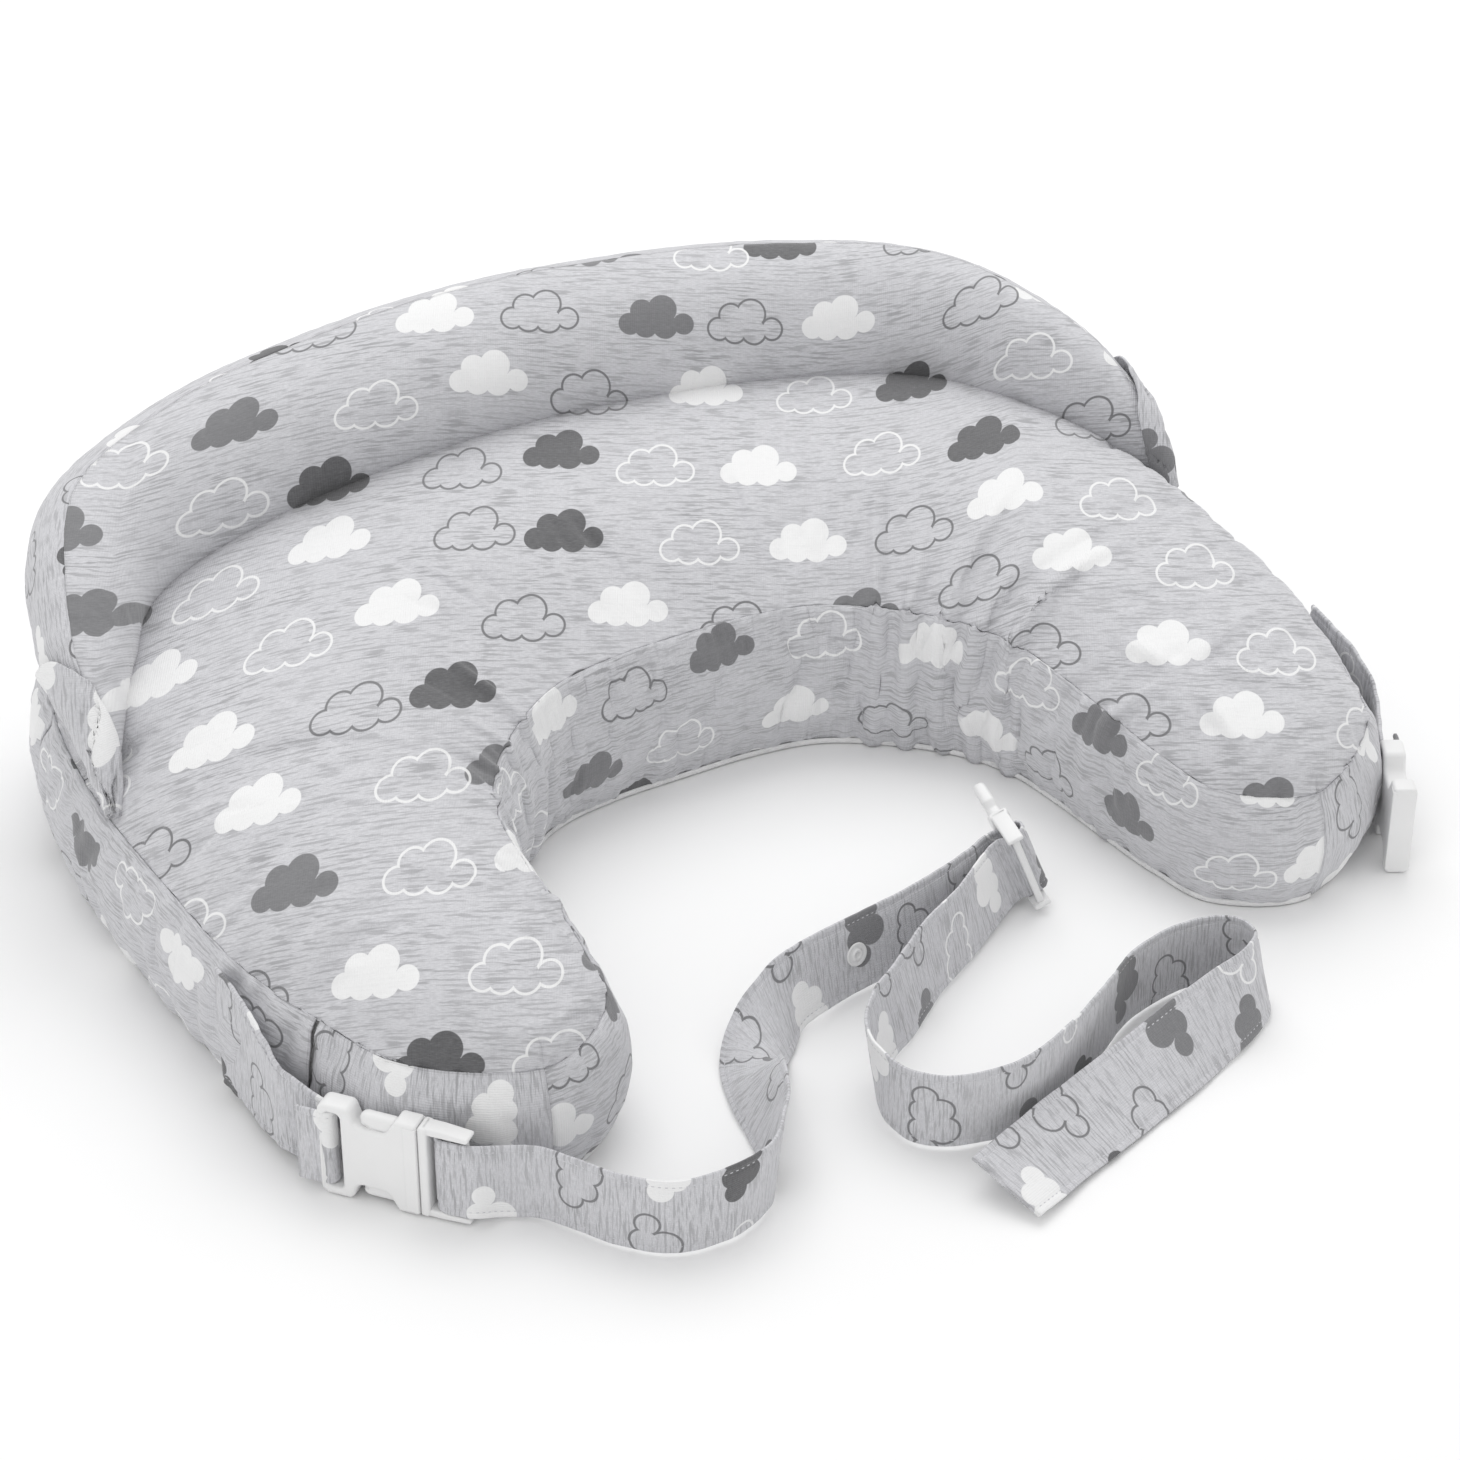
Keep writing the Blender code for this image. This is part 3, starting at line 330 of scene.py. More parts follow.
def knit_print(name):
    """The printed knit of the cover: heather with filled and outlined clouds."""
    t = Tree(name)
    uv = t.split(t.uv())
    u, v = uv[0], uv[1]
    colour, streak, fine = heather(t, u, v, grey(0.645), grey(0.335))
    edge, rand = cloud_field(t, u, v, (0.013, 0.017), 1.0)
    inside = t.ramp(edge, 0.0002, -0.0002)
    mid = t.mix(t.math("GREATER_THAN", rand, 0.78), grey(0.175), grey(0.085))
    ink = t.mix(t.math("GREATER_THAN", rand, 0.48), grey(0.85, 1.0), mid)
    worn = t.ramp(fine, 0.2, 0.8, 0.86, 1.0)
    colour = t.mix(t.math("MULTIPLY", inside, worn), colour, ink)
    edge, rand = cloud_field(t, u, v, (0.013 + CELL[0] * 0.45, 0.022), 2.0)
    ring = t.ramp(t.math("ABSOLUTE", edge), LINE * 1.35, LINE * 0.75)
    ink = t.mix(t.math("GREATER_THAN", rand, 0.5), grey(0.85, 1.0), grey(0.16))
    colour = t.mix(t.math("MULTIPLY", ring, 0.9), colour, ink)
    rib = t.nodes.new("ShaderNodeTexWave")
    rib.inputs["Scale"].default_value = 260.0
    rib.inputs["Distortion"].default_value = 2.0
    rib.inputs["Detail"].default_value = 1.0
    t.links.new(t.xyz(u, t.math("MULTIPLY", v, 0.25)), rib.inputs["Vector"])
    height = t.math("ADD", t.math("MULTIPLY", streak, 0.6), t.math("MULTIPLY", rib.outputs["Fac"], 0.35))
    creases = t.noise(t.place(), 26.0, 4.0, 0.55, 0.5)
    first = t.bump(creases, 0.0050, 0.42)
    normal = t.bump(height, 0.0006, 0.5, first)
    rough = t.ramp(fine, 0.2, 0.8, 0.82, 0.95)
    return t.finish(colour, rough, normal, 0.25, 0.25)


def plain_weave(name, light, dark, count=2700.0):
    """Plain woven cloth."""
    t = Tree(name)
    p = t.split(t.place())
    warp = t.math("SINE", t.math("MULTIPLY", p[0], count))
    weft = t.math("SINE", t.math("MULTIPLY", t.math("ADD", p[1], p[2]), count))
    weave = t.math("MULTIPLY", warp, weft)
    tone = t.noise(t.place(), 120.0, 3.0)
    colour = t.mix(t.ramp(tone, 0.3, 0.7), dark, light)
    normal = t.bump(weave, 0.0003, 0.4, t.bump(tone, 0.002, 0.4))
    return t.finish(colour, 0.9, normal, 0.2, 0.3)


def moulded(name, value, rough):
    """Moulded plastic with a fine matt grain."""
    t = Tree(name)
    grain = t.noise(t.place(), 2600.0, 2.0, 0.6)
    cloudy = t.noise(t.place(), 45.0, 2.0)
    colour = t.mix(t.ramp(cloudy, 0.3, 0.7), grey(value * 0.97, 1.0), grey(value, 1.0))
    normal = t.bump(grain, 0.0002, 0.22)
    return t.finish(colour, t.ramp(cloudy, 0.3, 0.7, rough, rough + 0.08), normal, 0.0, 0.5)


def fibre_fill(name):
    """Loose polyester fibre."""
    t = Tree(name)
    tuft = t.noise(t.place(), 90.0, 6.0, 0.7, 1.2)
    colour = t.mix(t.ramp(tuft, 0.3, 0.7), grey(0.72, 0.98), grey(0.88, 0.99))
    return t.finish(colour, 0.95, t.bump(tuft, 0.003, 0.7), 0.4, 0.2)


PRINT = knit_print("print_knit")
STITCH = plain_weave("stitch_thread", grey(0.70), grey(0.55), 7800.0)
WHITE = plain_weave("white_weave", grey(0.82, 1.0), grey(0.70, 1.0))
TAPE = plain_weave("zip_tape_weave", grey(0.62), grey(0.48), 4500.0)
PLASTIC = moulded("white_plastic", 0.82, 0.36)
COIL = moulded("zip_plastic", 0.62, 0.42)
FIBRE = fibre_fill("fibre_fill")


# ---------------------------------------------------------------- mesh helpers


def add_object(name, data):
    """An object of a mesh, curve, light or camera, in the scene."""
    obj = bpy.data.objects.new(name, data)
    bpy.context.scene.collection.objects.link(obj)
    return obj


def baked(obj):
    """A mesh of an object as its modifiers or its curve make it."""
    deps = bpy.context.evaluated_depsgraph_get()
    return bpy.data.meshes.new_from_object(obj.evaluated_get(deps))


def weld(mesh, dist, sides=0, outward=True):
    """Merge doubled points, close holes of up to so many sides, and face the mesh outward."""
    bm = bmesh.new()
    bm.from_mesh(mesh)
    bmesh.ops.remove_doubles(bm, verts=bm.verts, dist=dist)
    if sides:
        bmesh.ops.holes_fill(bm, edges=[e for e in bm.edges if e.is_boundary], sides=sides)
    if outward:
        bmesh.ops.recalc_face_normals(bm, faces=bm.faces)
    bm.to_mesh(mesh)
    bm.free()


def grid_mesh(name, points, uvs, mat, thick=0.0):
    """A mesh from a grid of points; thick closes it into a shell on its inner side."""
    rows, cols = points.shape[:2]
    flat = points.reshape(-1, 3)
    faces = []
    for i in range(rows - 1):
        for j in range(cols - 1):
            a = i * cols + j
            faces.append((a, a + 1, a + cols + 1, a + cols))
    mesh = bpy.data.meshes.new(name)
    mesh.from_pydata(flat.tolist(), [], faces)
    layer = mesh.uv_layers.new(name="print")
    index = np.empty(len(mesh.loops), dtype=np.int32)
    mesh.loops.foreach_get("vertex_index", index)
    layer.data.foreach_set("uv", uvs.reshape(-1, 2)[index].astype(np.float32).ravel())
    mesh.materials.append(mat)
    obj = add_object(name, mesh)
    if thick:
        mod = obj.modifiers.new("cloth_thickness", "SOLIDIFY")
        mod.thickness = thick
        mod.offset = -1.0
        mod.use_even_offset = False
    mesh.shade_smooth()
    return obj


# ---------------------------------------------------------------- the stuffed cushion
ROWS = 280
TOP_COLS = 41
WALL_COLS = 13
WALL_FOOT = COVER + 0.0006
CLOTH_FRAMES = 20
STATION = even_stations(ROWS)


def crown_profile(v):
    """Height over the seam, as a share of the crown, across the top from -1 to 1."""
    return 1 - abs(v) ** 2.6


def top_grid():
    """The crowned top, from the inner to the outer seam."""
    grid = np.empty((ROWS, TOP_COLS, 3))
    for i, s in enumerate(STATION):
        outer, outer_n = outer_at(s)
        inner, inner_n = inner_at(s)
        for j in range(TOP_COLS):
            v = math.sin((j / (TOP_COLS - 1) - 0.5) * math.pi * 0.94) / math.sin(math.pi * 0.47)
            plan = inner * (1 - v) / 2 + outer * (1 + v) / 2
            grid[i, j] = (plan[0], plan[1], seam_height(s) + crown_height(s) * crown_profile(v))
    return grid


def wall_grid(at):
    """A wall from its foot to the top seam."""
    grid = np.empty((ROWS, WALL_COLS, 3))
    for i, s in enumerate(STATION):
        point, normal = at(s)
        for j in range(WALL_COLS):
            f = j / (WALL_COLS - 1)
            z = WALL_FOOT + (seam_height(s) - WALL_FOOT) * f
            plan = point + normal * WALL_BULGE * math.sin(math.pi * f)
            grid[i, j] = (plan[0], plan[1], z)
    return grid


def zip_zone(grid):
    """1 where the wall carries the zip and stays flat, fading to 0 round it."""
    x = np.clip((ZIP_HALF_LENGTH + 0.022 - np.abs(grid[..., 0])) / 0.012, 0.0, 1.0)
    z = np.clip((0.022 - np.abs(grid[..., 2] - ZIP_HEIGHT)) / 0.008, 0.0, 1.0)
    return x * z * (grid[..., 1] > 0)


def add_cloth(obj):
    """Cloth under pressure, held where the group named seams says."""
    mod = obj.modifiers.new("cloth", "CLOTH")
    cloth = mod.settings
    cloth.quality = 4
    cloth.mass = 0.25
    cloth.tension_stiffness = 12.0
    cloth.compression_stiffness = 12.0
    cloth.shear_stiffness = 3.0
    cloth.bending_stiffness = 0.25
    cloth.use_pressure = True
    cloth.uniform_pressure_force = 4.0
    cloth.vertex_group_mass = "seams"
    cloth.shrink_min = -0.03
    cloth.effector_weights.gravity = 0.0
    mod.collision_settings.use_collision = False
    mod.point_cache.frame_start = 1
    mod.point_cache.frame_end = CLOTH_FRAMES


def simulate(name, grids, pin_rows, cap):
    """Puff grids that share edges as one cloth, and return them after it settles.

    Every grid's first and last columns are its seams. They are held, and so are the
    given number of rows at both ends. No point moves further than the cap.
    """
    flat = np.concatenate([g.reshape(-1, 3) for g in grids])
    keys, index = {}, []
    for p in np.round(flat, 6):
        index.append(keys.setdefault(tuple(p), len(keys)))
    index = np.array(index)
    verts = np.zeros((len(keys), 3))
    verts[index] = flat
    start = verts.copy()
    for k, p in enumerate(verts):
        verts[k] = p + np.array([lump(*p, 60.0, 1), lump(*p, 60.0, 2), lump(*p, 60.0, 3)]) * 0.0006
    faces, held, base = set(), np.zeros(len(keys)), 0
    for g in grids:
        rows, cols = g.shape[:2]
        for i in range(rows):
            for j in range(cols):
                near = min(j, cols - 1 - j)
                end = min(i, rows - 1 - i)
                k = index[base + i * cols + j]
                if near == 0 or end < pin_rows:
                    held[k] = 1.0
                if i < rows - 1 and j < cols - 1:
                    a = base + i * cols + j
                    ring = [int(index[q]) for q in (a, a + 1, a + cols + 1, a + cols)]
                    ring = tuple(dict.fromkeys(ring))
                    if len(ring) > 2:
                        faces.add(ring)
        base += rows * cols
    verts[held > 0] = start[held > 0]
    mesh = bpy.data.meshes.new(name)
    mesh.from_pydata(verts.tolist(), [], sorted(faces))
    bm = bmesh.new()
    bm.from_mesh(mesh)
    bmesh.ops.recalc_face_normals(bm, faces=bm.faces)
    top = max(bm.faces, key=lambda f: f.calc_center_median().z)
    if top.normal.z < 0:
        bmesh.ops.reverse_faces(bm, faces=bm.faces)
    bm.to_mesh(mesh)
    bm.free()
    outward = np.array([v.normal[:] for v in mesh.vertices])
    obj = add_object(name, mesh)
    group = obj.vertex_groups.new(name="seams")
    group.add([int(k) for k in np.nonzero(held)[0]], 1.0, "REPLACE")
    add_cloth(obj)
    scene = bpy.context.scene
    for f in range(1, CLOTH_FRAMES + 1):
        scene.frame_set(f)
    deps = bpy.context.evaluated_depsgraph_get()
    done = obj.evaluated_get(deps).to_mesh()
    out = np.empty(len(done.vertices) * 3)
    done.vertices.foreach_get("co", out)
    out = out.reshape(-1, 3)
    scene.frame_set(1)
    bpy.data.objects.remove(obj, do_unlink=True)
    # The cloth only swells: the stuffing keeps it from sinking in.
    move = out - start
    move -= outward * np.minimum(0.0, np.sum(move * outward, axis=1, keepdims=True))
    size = np.linalg.norm(move, axis=1, keepdims=True)
    move *= np.minimum(1.0, cap / np.maximum(size, 1e-9))
    settled = (start + move)[index]
    result, base = [], 0
    for g in grids:
        count = g.shape[0] * g.shape[1]
        result.append(settled[base:base + count].reshape(g.shape))
        base += count
    return result


# ---------------------------------------------------------------- print coordinates


def bend_print(u):
    """How the print's lines drift up towards both sides of the cushion."""
    left = np.clip(-u - 0.09, 0.0, 0.20)
    right = np.clip(u - 0.06, 0.0, 0.13)
    return 1.25 * left ** 2 - 1.5 * right ** 2


def face_print(points):
    """Print coordinates of the surfaces that are cut as one: across and up the cloth."""
    p = points.reshape(-1, 3)
    u = p @ np.array(RIGHT)
    v = p @ np.array(UP)
    v = v + bend_print(u)
    return np.stack([u, v], axis=1).reshape(points.shape[0], points.shape[1], 2)


def run_print(points, offset=(0.0, 0.0), turned=False):
    """Print coordinates along and across a panel; turned lays the cloth the other way."""
    rows, cols = points.shape[:2]
    mid = points[:, cols // 2]
    along = run_length(mid)
    across = np.zeros((rows, cols))
    across[:, 1:] = np.cumsum(np.linalg.norm(np.diff(points, axis=1), axis=2), axis=1)
    a = np.repeat(along[:, None], cols, axis=1) + offset[0]
    b = across + offset[1]
    return np.stack([b, a] if turned else [a, b], axis=2)


def grow(points):
    """Twice as fine a grid, by Catmull-Rom along both directions."""
    for axis in (0, 1):
        g = np.moveaxis(points, axis, 0)
        pad = np.concatenate([2 * g[:1] - g[1:2], g, 2 * g[-1:] - g[-2:-1]])
        mid = (-pad[:-3] + 9 * pad[1:-2] + 9 * pad[2:-1] - pad[3:]) / 16
        out = np.empty((2 * len(g) - 1,) + g.shape[1:])
        out[0::2] = g
        out[1::2] = mid
        points = np.moveaxis(out, 0, axis)
    return points


def normals(points, out):
    """Unit normals of a grid, on the side that faces out."""
    du = np.gradient(points, axis=0)
    dv = np.gradient(points, axis=1)
    n = np.cross(du, dv)
    n = n / np.maximum(np.linalg.norm(n, axis=2, keepdims=True), 1e-9)
    return -n if np.sum(n * out) < 0 else n


def pucker(points, out, size=0.0011):
    """Small gathers that run in from a panel's seams, and slack in the cloth between."""
    rows, cols = points.shape[:2]
    n = normals(points, out)
    for i in range(rows):
        for j in range(cols):
            p = points[i, j]
            f = j / (cols - 1)
            rise = 0.0
            for dist in (f, 1 - f):
                reach = np.linalg.norm(points[i, 0] - points[i, -1]) * dist
                fade = math.exp(-reach / 0.018) * (1 - math.exp(-reach / 0.003))
                rise += size * fade * (lump(i * 0.11, 5.0 * (dist > f), dist * 2, 3.0, 4)
                                       + 0.5 * lump(i * 0.3, 2.0, dist * 3, 2.5, 5))
            rise += 0.0010 * lump(*p, 14.0, 6)
            points[i, j] = p + n[i, j] * rise
    return points


# ---------------------------------------------------------------- build the cover


def shifted(points):
    """From the working frame, whose Y is unshifted, to the model's."""
    out = points.copy()
    out[..., 1] += Y_SHIFT
    return out


def fold(points, out, folds, share):
    """Long folds: each has a plan start and end, a half width and a height, in metres."""
    n = normals(points, out)
    for start, end, half, rise in folds:
        a, b = np.array(start), np.array(end)
        plan = points[..., :2]
        d = b - a
        t = np.clip(((plan - a) @ d) / (d @ d), 0.0, 1.0)
        away = np.linalg.norm(plan - a - t[..., None] * d, axis=2)
        ends = np.clip(np.minimum(t * 5.0, (1 - t) * 1.4), 0.0, 1.0)
        ends = ends * ends * (3 - 2 * ends)
        points = points + n * (share * rise * np.exp(-(away / half) ** 2) * ends)[..., None]
    return points


def fan(centre, near, far, angles, half, rise):
    """Ridges that spread from a bend at the given angles."""
    out = []
    for k, angle in enumerate(angles):
        a = math.radians(angle)
        ray = np.array([math.cos(a), math.sin(a)])
        c = np.array(centre)
        reach = far * (1.0 - 0.22 * (k % 2))
        out.append((c + ray * near, c + ray * reach, half, rise))
    return out


# Ridges that run out from the bends at the waist, and from the tips.
FOLDS = fan((0.060, -0.106), 0.060, 0.205, (8, 21, 33, 46, 58), 0.0050, 0.0052)
FOLDS += fan((-0.066, -0.104), 0.060, 0.160, (122, 138, 153, 168), 0.0042, 0.0032)
FOLDS += fan((0.200, -0.190), 0.008, 0.085, (-95, -40, 20, 100, 150), 0.0045, 0.0030)
FOLDS += fan((-0.200, -0.190), 0.008, 0.080, (-110, -60, 30, 80, 130), 0.0045, 0.0026)

FINE_STATION = grow(STATION[:, None, None] * np.ones((1, 2, 1)))[:, 0, 0]


def cover(name, points, uvs, node_names, body="pillow", mat=PRINT, thick=COVER * 0.8):
    """One panel of the cover, as a thin shell that stands for its nodes."""
    obj = grid_mesh(name, points, uvs, mat, thick)
    weld(obj.data, 1e-6, outward=False)
    mesh = baked(obj)
    obj.modifiers.clear()
    obj.data = mesh
    mesh.shade_smooth()
    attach(obj, body)
    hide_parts(*node_names)


def rows_between(first, last):
    """Index range of the fine rows between two stations."""
    k = np.nonzero((FINE_STATION >= first - 1e-6) & (FINE_STATION <= last + 1e-6))[0]
    return slice(k[0], k[-1] + 1)


def top_print(points):
    """The top's print; the strip behind the fence has its own, along the seam."""
    cols = np.arange(points.shape[1])
    behind = np.clip((19 - cols) / 6, 0.0, 1.0)[None, :, None]
    behind = behind * np.clip((4.9 - np.abs(FINE_STATION)) / 0.3, 0.0, 1.0)[:, None, None]
    return face_print(points) * (1 - behind) + run_print(points, (0.03, 0.012)) * behind


UPWARD = np.array([0.0, 0.0, 1.0])
WEARER = np.array([0.0, -1.0, 0.0])
GATHER = 0.0018
PANELS = (("end_wall_left", -STATIONS, -BAND_END, "end_gusset_left", True),
          ("side_wall_left", -BAND_END, -BAND_BACK, "side_band_left", False),
          ("back_wall", -BAND_BACK, BAND_BACK, "back_panel", False),
          ("side_wall_right", BAND_BACK, BAND_END, "side_band_right", False),
          ("end_wall_right", BAND_END, STATIONS, "end_gusset_right", True))


def make_cushion():
    """The top and the walls, swollen as one cloth, creased, and cut into their panels."""
    flat = wall_grid(outer_at)
    top, inner, outer = top_grid(), wall_grid(inner_at), flat
    top, inner, outer = simulate("cushion_cloth", [top, inner, outer], 3, 0.005)
    zone = zip_zone(flat)[..., None]
    outer = outer * (1 - zone) + flat * zone
    top, inner, outer = (grow(shifted(g)) for g in (top, inner, outer))
    top = fold(pucker(top[:, ::-1], UPWARD, GATHER), UPWARD, FOLDS, 1.45)
    inner = fold(pucker(inner, WEARER, GATHER), WEARER, FOLDS, 0.8)
    flat = grow(shifted(flat))[:, ::-1]
    zone = zip_zone(flat)[..., None]
    outer = pucker(outer[:, ::-1], -WEARER, GATHER) * (1 - zone) + flat * zone
    # Sewn edges meet.
    top[:, -1] = inner[:, -1] = (top[:, -1] + inner[:, -1]) / 2
    top[:, 0] = outer[:, 0] = (top[:, 0] + outer[:, 0]) / 2
    cover("cushion_top", top, top_print(top), ["top_panel"])
    cover("inner_wall", inner, run_print(inner, (0.02, 0.013)), ["inner_gusset"])
    for name, first, last, node, turned in PANELS:
        part = outer[rows_between(first, last)]
        cover(name, part, run_print(part, (0.011 * len(name), 0.02), turned), [node])


def make_bottom():
    """The white underside, flat on the floor."""
    grid = np.empty((len(FINE_STATION) // 2 + 1, 9, 3))
    for i, s in enumerate(FINE_STATION[::2]):
        a, b = outer_at(s)[0], inner_at(s)[0]
        for j in range(9):
            plan = a + (b - a) * j / 8
            grid[i, j] = (plan[0], plan[1] + Y_SHIFT, COVER)
    cover("underside", grid, run_print(grid), ["bottom_panel"], mat=WHITE, thick=COVER)


def make_hem():
    """The underside's edge, turned up along the foot of the inner wall."""
    grid = np.empty((len(FINE_STATION), 9, 3))
    for i, s in enumerate(FINE_STATION):
        point, normal = inner_at(s)
        for j in range(9):
            f = j / 8
            out = 0.0010 + 0.0010 * math.sin(math.pi * f) + WALL_BULGE * 0.10 * f
            plan = point + normal * out
            grid[i, j] = (plan[0], plan[1] + Y_SHIFT, 0.0006 + 0.0034 * f)
    cover("underside_hem", grid, run_print(grid), [], mat=WHITE, thick=0.0006)


make_cushion()
make_bottom()
make_hem()


# ---------------------------------------------------------------- the fence
def fence_fade(station, end, power, blunt=0.5):
    """A size along the roll."""
    return max(0.0, 1 - (abs(station) / end) ** power) ** blunt


def under_fence(station, distance):
    """Height of the cushion's top at a distance in from the outer seam."""
    outer, inner = outer_at(station)[0], inner_at(station)[0]
    width = np.linalg.norm(outer - inner)
    v = 1 - 2 * max(distance, 0.0) / width
    return seam_height(station) + crown_height(station) * crown_profile(v)


FENCE_COUNT = 190
FENCE_STEPS = 34
CORNER_SHARE = 0.105        # of the roll's length, under one corner
CORNER_COLS = 33


def fence_grid():
    """The roll's skin from its inner foot, over the ridge, to its outer foot."""
    stations = even_stations(FENCE_COUNT, -FENCE_LAST - 0.245, FENCE_LAST + 0.245)
    grid = np.empty((FENCE_COUNT, FENCE_STEPS, 3))
    for i, s in enumerate(stations):
        outer, inner = outer_at(s)[0], inner_at(s)[0]
        across = (outer - inner) / np.linalg.norm(outer - inner)
        wide = fence_fade(s, FENCE_LAST + 0.30, 2.6, 1.0)
        tall = fence_fade(s, FENCE_LAST + 0.25, 3.6)
        half = FENCE_HALF_WIDTH * wide
        seat = half - FENCE_PROUD * wide
        middle = seam_height(s) + (FENCE_CENTRE_Z - SEAM_BACK) * tall
        for j in range(FENCE_STEPS):
            a = math.radians(222 - (222 + 34) * j / (FENCE_STEPS - 1))
            out = half * math.cos(a) - seat
            z = middle + FENCE_HALF_HEIGHT * tall * math.sin(a)
            z = max(z, under_fence(s, -out) + FENCE_LIFT * 0.5)
            plan = outer + across * out
            grid[i, j] = (plan[0], plan[1], z)
    return grid


def make_fence():
    """The fence's inner face carries the cushion's print; its outer face has its own."""
    grid = fence_grid()
    grid = simulate("fence_cloth", [grid], 1, 0.004)[0]
    grid = grow(shifted(grid))
    grid = pucker(grid, UPWARD)
    ridge = int(np.median(np.argmax(grid[..., 2], axis=1))) + 2
    front = grid[:, :ridge + 1]
    back = grid[:, ridge:]
    cover("fence_inner_face", front, face_print(front), ["fence_cover"])
    cover("fence_outer_face", back, run_print(back, (0.03, 0.01)), [])
    make_corner("fence_corner_left", grid)
    make_corner("fence_corner_right", grid[::-1])


def make_corner(name, grid):
    """The side band's corner, which laps over one end of the roll along a slanting edge."""
    n = normals(grid, UPWARD)
    rows = int(len(grid) * CORNER_SHARE)
    cols = grid.shape[1] - 1
    last = CORNER_COLS - 1
    flap = np.empty((rows, CORNER_COLS, 3))
    for i in range(rows):
        t = i / (rows - 1)
        reach = cols * 0.94 * (1 - t) ** 1.15
        for j in range(CORNER_COLS):
            f = cols - reach * j / last
            k = min(int(f), cols - 1)
            w = f - k
            p = grid[i, k] * (1 - w) + grid[i, k + 1] * w
            d = n[i, k] * (1 - w) + n[i, k + 1] * w
            lift = 0.0023 + 0.0024 * (j / last) + 0.0006 * lump(i * 0.08, j * 0.1, 0.0, 1.0, 9)
            flap[i, j] = p + d * lift
    cover(name, flap, face_print(flap)[..., ::-1] + 0.03, [], thick=0.0012)


make_fence()


def dress(names, mat):
    """Give CAD nodes a better material."""
    for n in names:
        obj = NODES[n]
        if not obj.material_slots:
            obj.data.materials.append(mat)
        for s in obj.material_slots:
            s.material = mat


dress(["filling_core", "fence_core"], FIBRE)
dress(["liner_upper", "liner_lower"], WHITE)
dress(["zip_tape_upper", "zip_tape_lower"], TAPE)
dress(["zip_coil", "zip_stop_left", "zip_stop_right", "zip_slider", "zip_pull"], COIL)
dress(["snap_cap"], PLASTIC)


# ---------------------------------------------------------------- buckle frames
SOCKET_LENGTH = 0.051
BUCKLE_THICK = 0.012
SLOT_HALF = 0.0222
BAR = 0.0035
FLOOR_GAP = 0.0006
SOCKET_Z = BUCKLE_WIDTH / 2 + FLOOR_GAP
LADDER_BARS = (0.0625, 0.0730)
FIXED_BARS = (0.0620, 0.0715)
FIXED_BAR_Y = 0.0007        # the fixed bars' middle, off the buckle's own
LOOP_RADIUS = 0.0046        # of a strap's turn round a bar
SHIFT = Vector((0.0, Y_SHIFT, 0.0))


def buckle_frame(point, heading, width_axis):
    """Frame of a buckle half: X along it towards the belt, Z across the belt."""
    x = Vector(heading).normalized()
    z = Vector(width_axis)
    z = (z - x * z.dot(x)).normalized()
    turn = Matrix((x, z.cross(x), z)).transposed().to_4x4()
    return Matrix.Translation(point) @ turn


def socket_origin(side, station, out):
    """A point off the outer seam, at a socket's middle height."""
    point, normal = outer_at(side * station)
    plan = point + normal * out
    return Vector((plan[0], plan[1], SOCKET_Z)) + SHIFT


LEFT_SOCKET = buckle_frame(socket_origin(-1, 8.40, 0.0225), (0.62, -0.785, 0.0), (0, 0, 1))
RIGHT_SOCKET = buckle_frame(socket_origin(1, 8.67, 0.0157), (-0.50, -0.866, 0.0), (0, 0, 1))
PLUG_END = LEFT_SOCKET @ Vector((0.0750, 0.0, 0.0))


def ladder_frame():
    """Frame of the adjusting plug, which leans on one corner with its arms to the back."""
    arms = Vector((0.22, 0.975, 0.0)).normalized()
    plug = buckle_frame((0, 0, 0), -arms, (-0.352, 0.081, 0.933))
    bar = plug @ Vector((LADDER_BARS[-1] + BAR / 2, 0.0, 0.0))
    lean = plug.to_3x3()
    reach = abs(lean[2][2]) * BUCKLE_WIDTH / 2 + abs(lean[2][1]) * BUCKLE_THICK / 2
    target = Vector((PLUG_END.x + 0.362, PLUG_END.y + 0.073, reach + FLOOR_GAP))
    return Matrix.Translation(target - bar) @ plug


LADDER = ladder_frame()


# ---------------------------------------------------------------- buckles
def rounded(corners, steps=6):
    """A closed outline through corners given as (x, z, radius)."""
    out = []
    count = len(corners)
    for k, (x, z, r) in enumerate(corners):
        here = Vector((x, z))
        before = (Vector(corners[k - 1][:2]) - here).normalized()
        after = (Vector(corners[(k + 1) % count][:2]) - here).normalized()
        half = before.angle(after) / 2
        cut = r / math.tan(half)
        middle = here + (before + after).normalized() * (r / math.sin(half))
        a = here + before * cut - middle
        b = here + after * cut - middle
        turn = a.angle_signed(b)
        for i in range(steps + 1):
            out.append(middle + Matrix.Rotation(-turn * i / steps, 2) @ a)
    return out


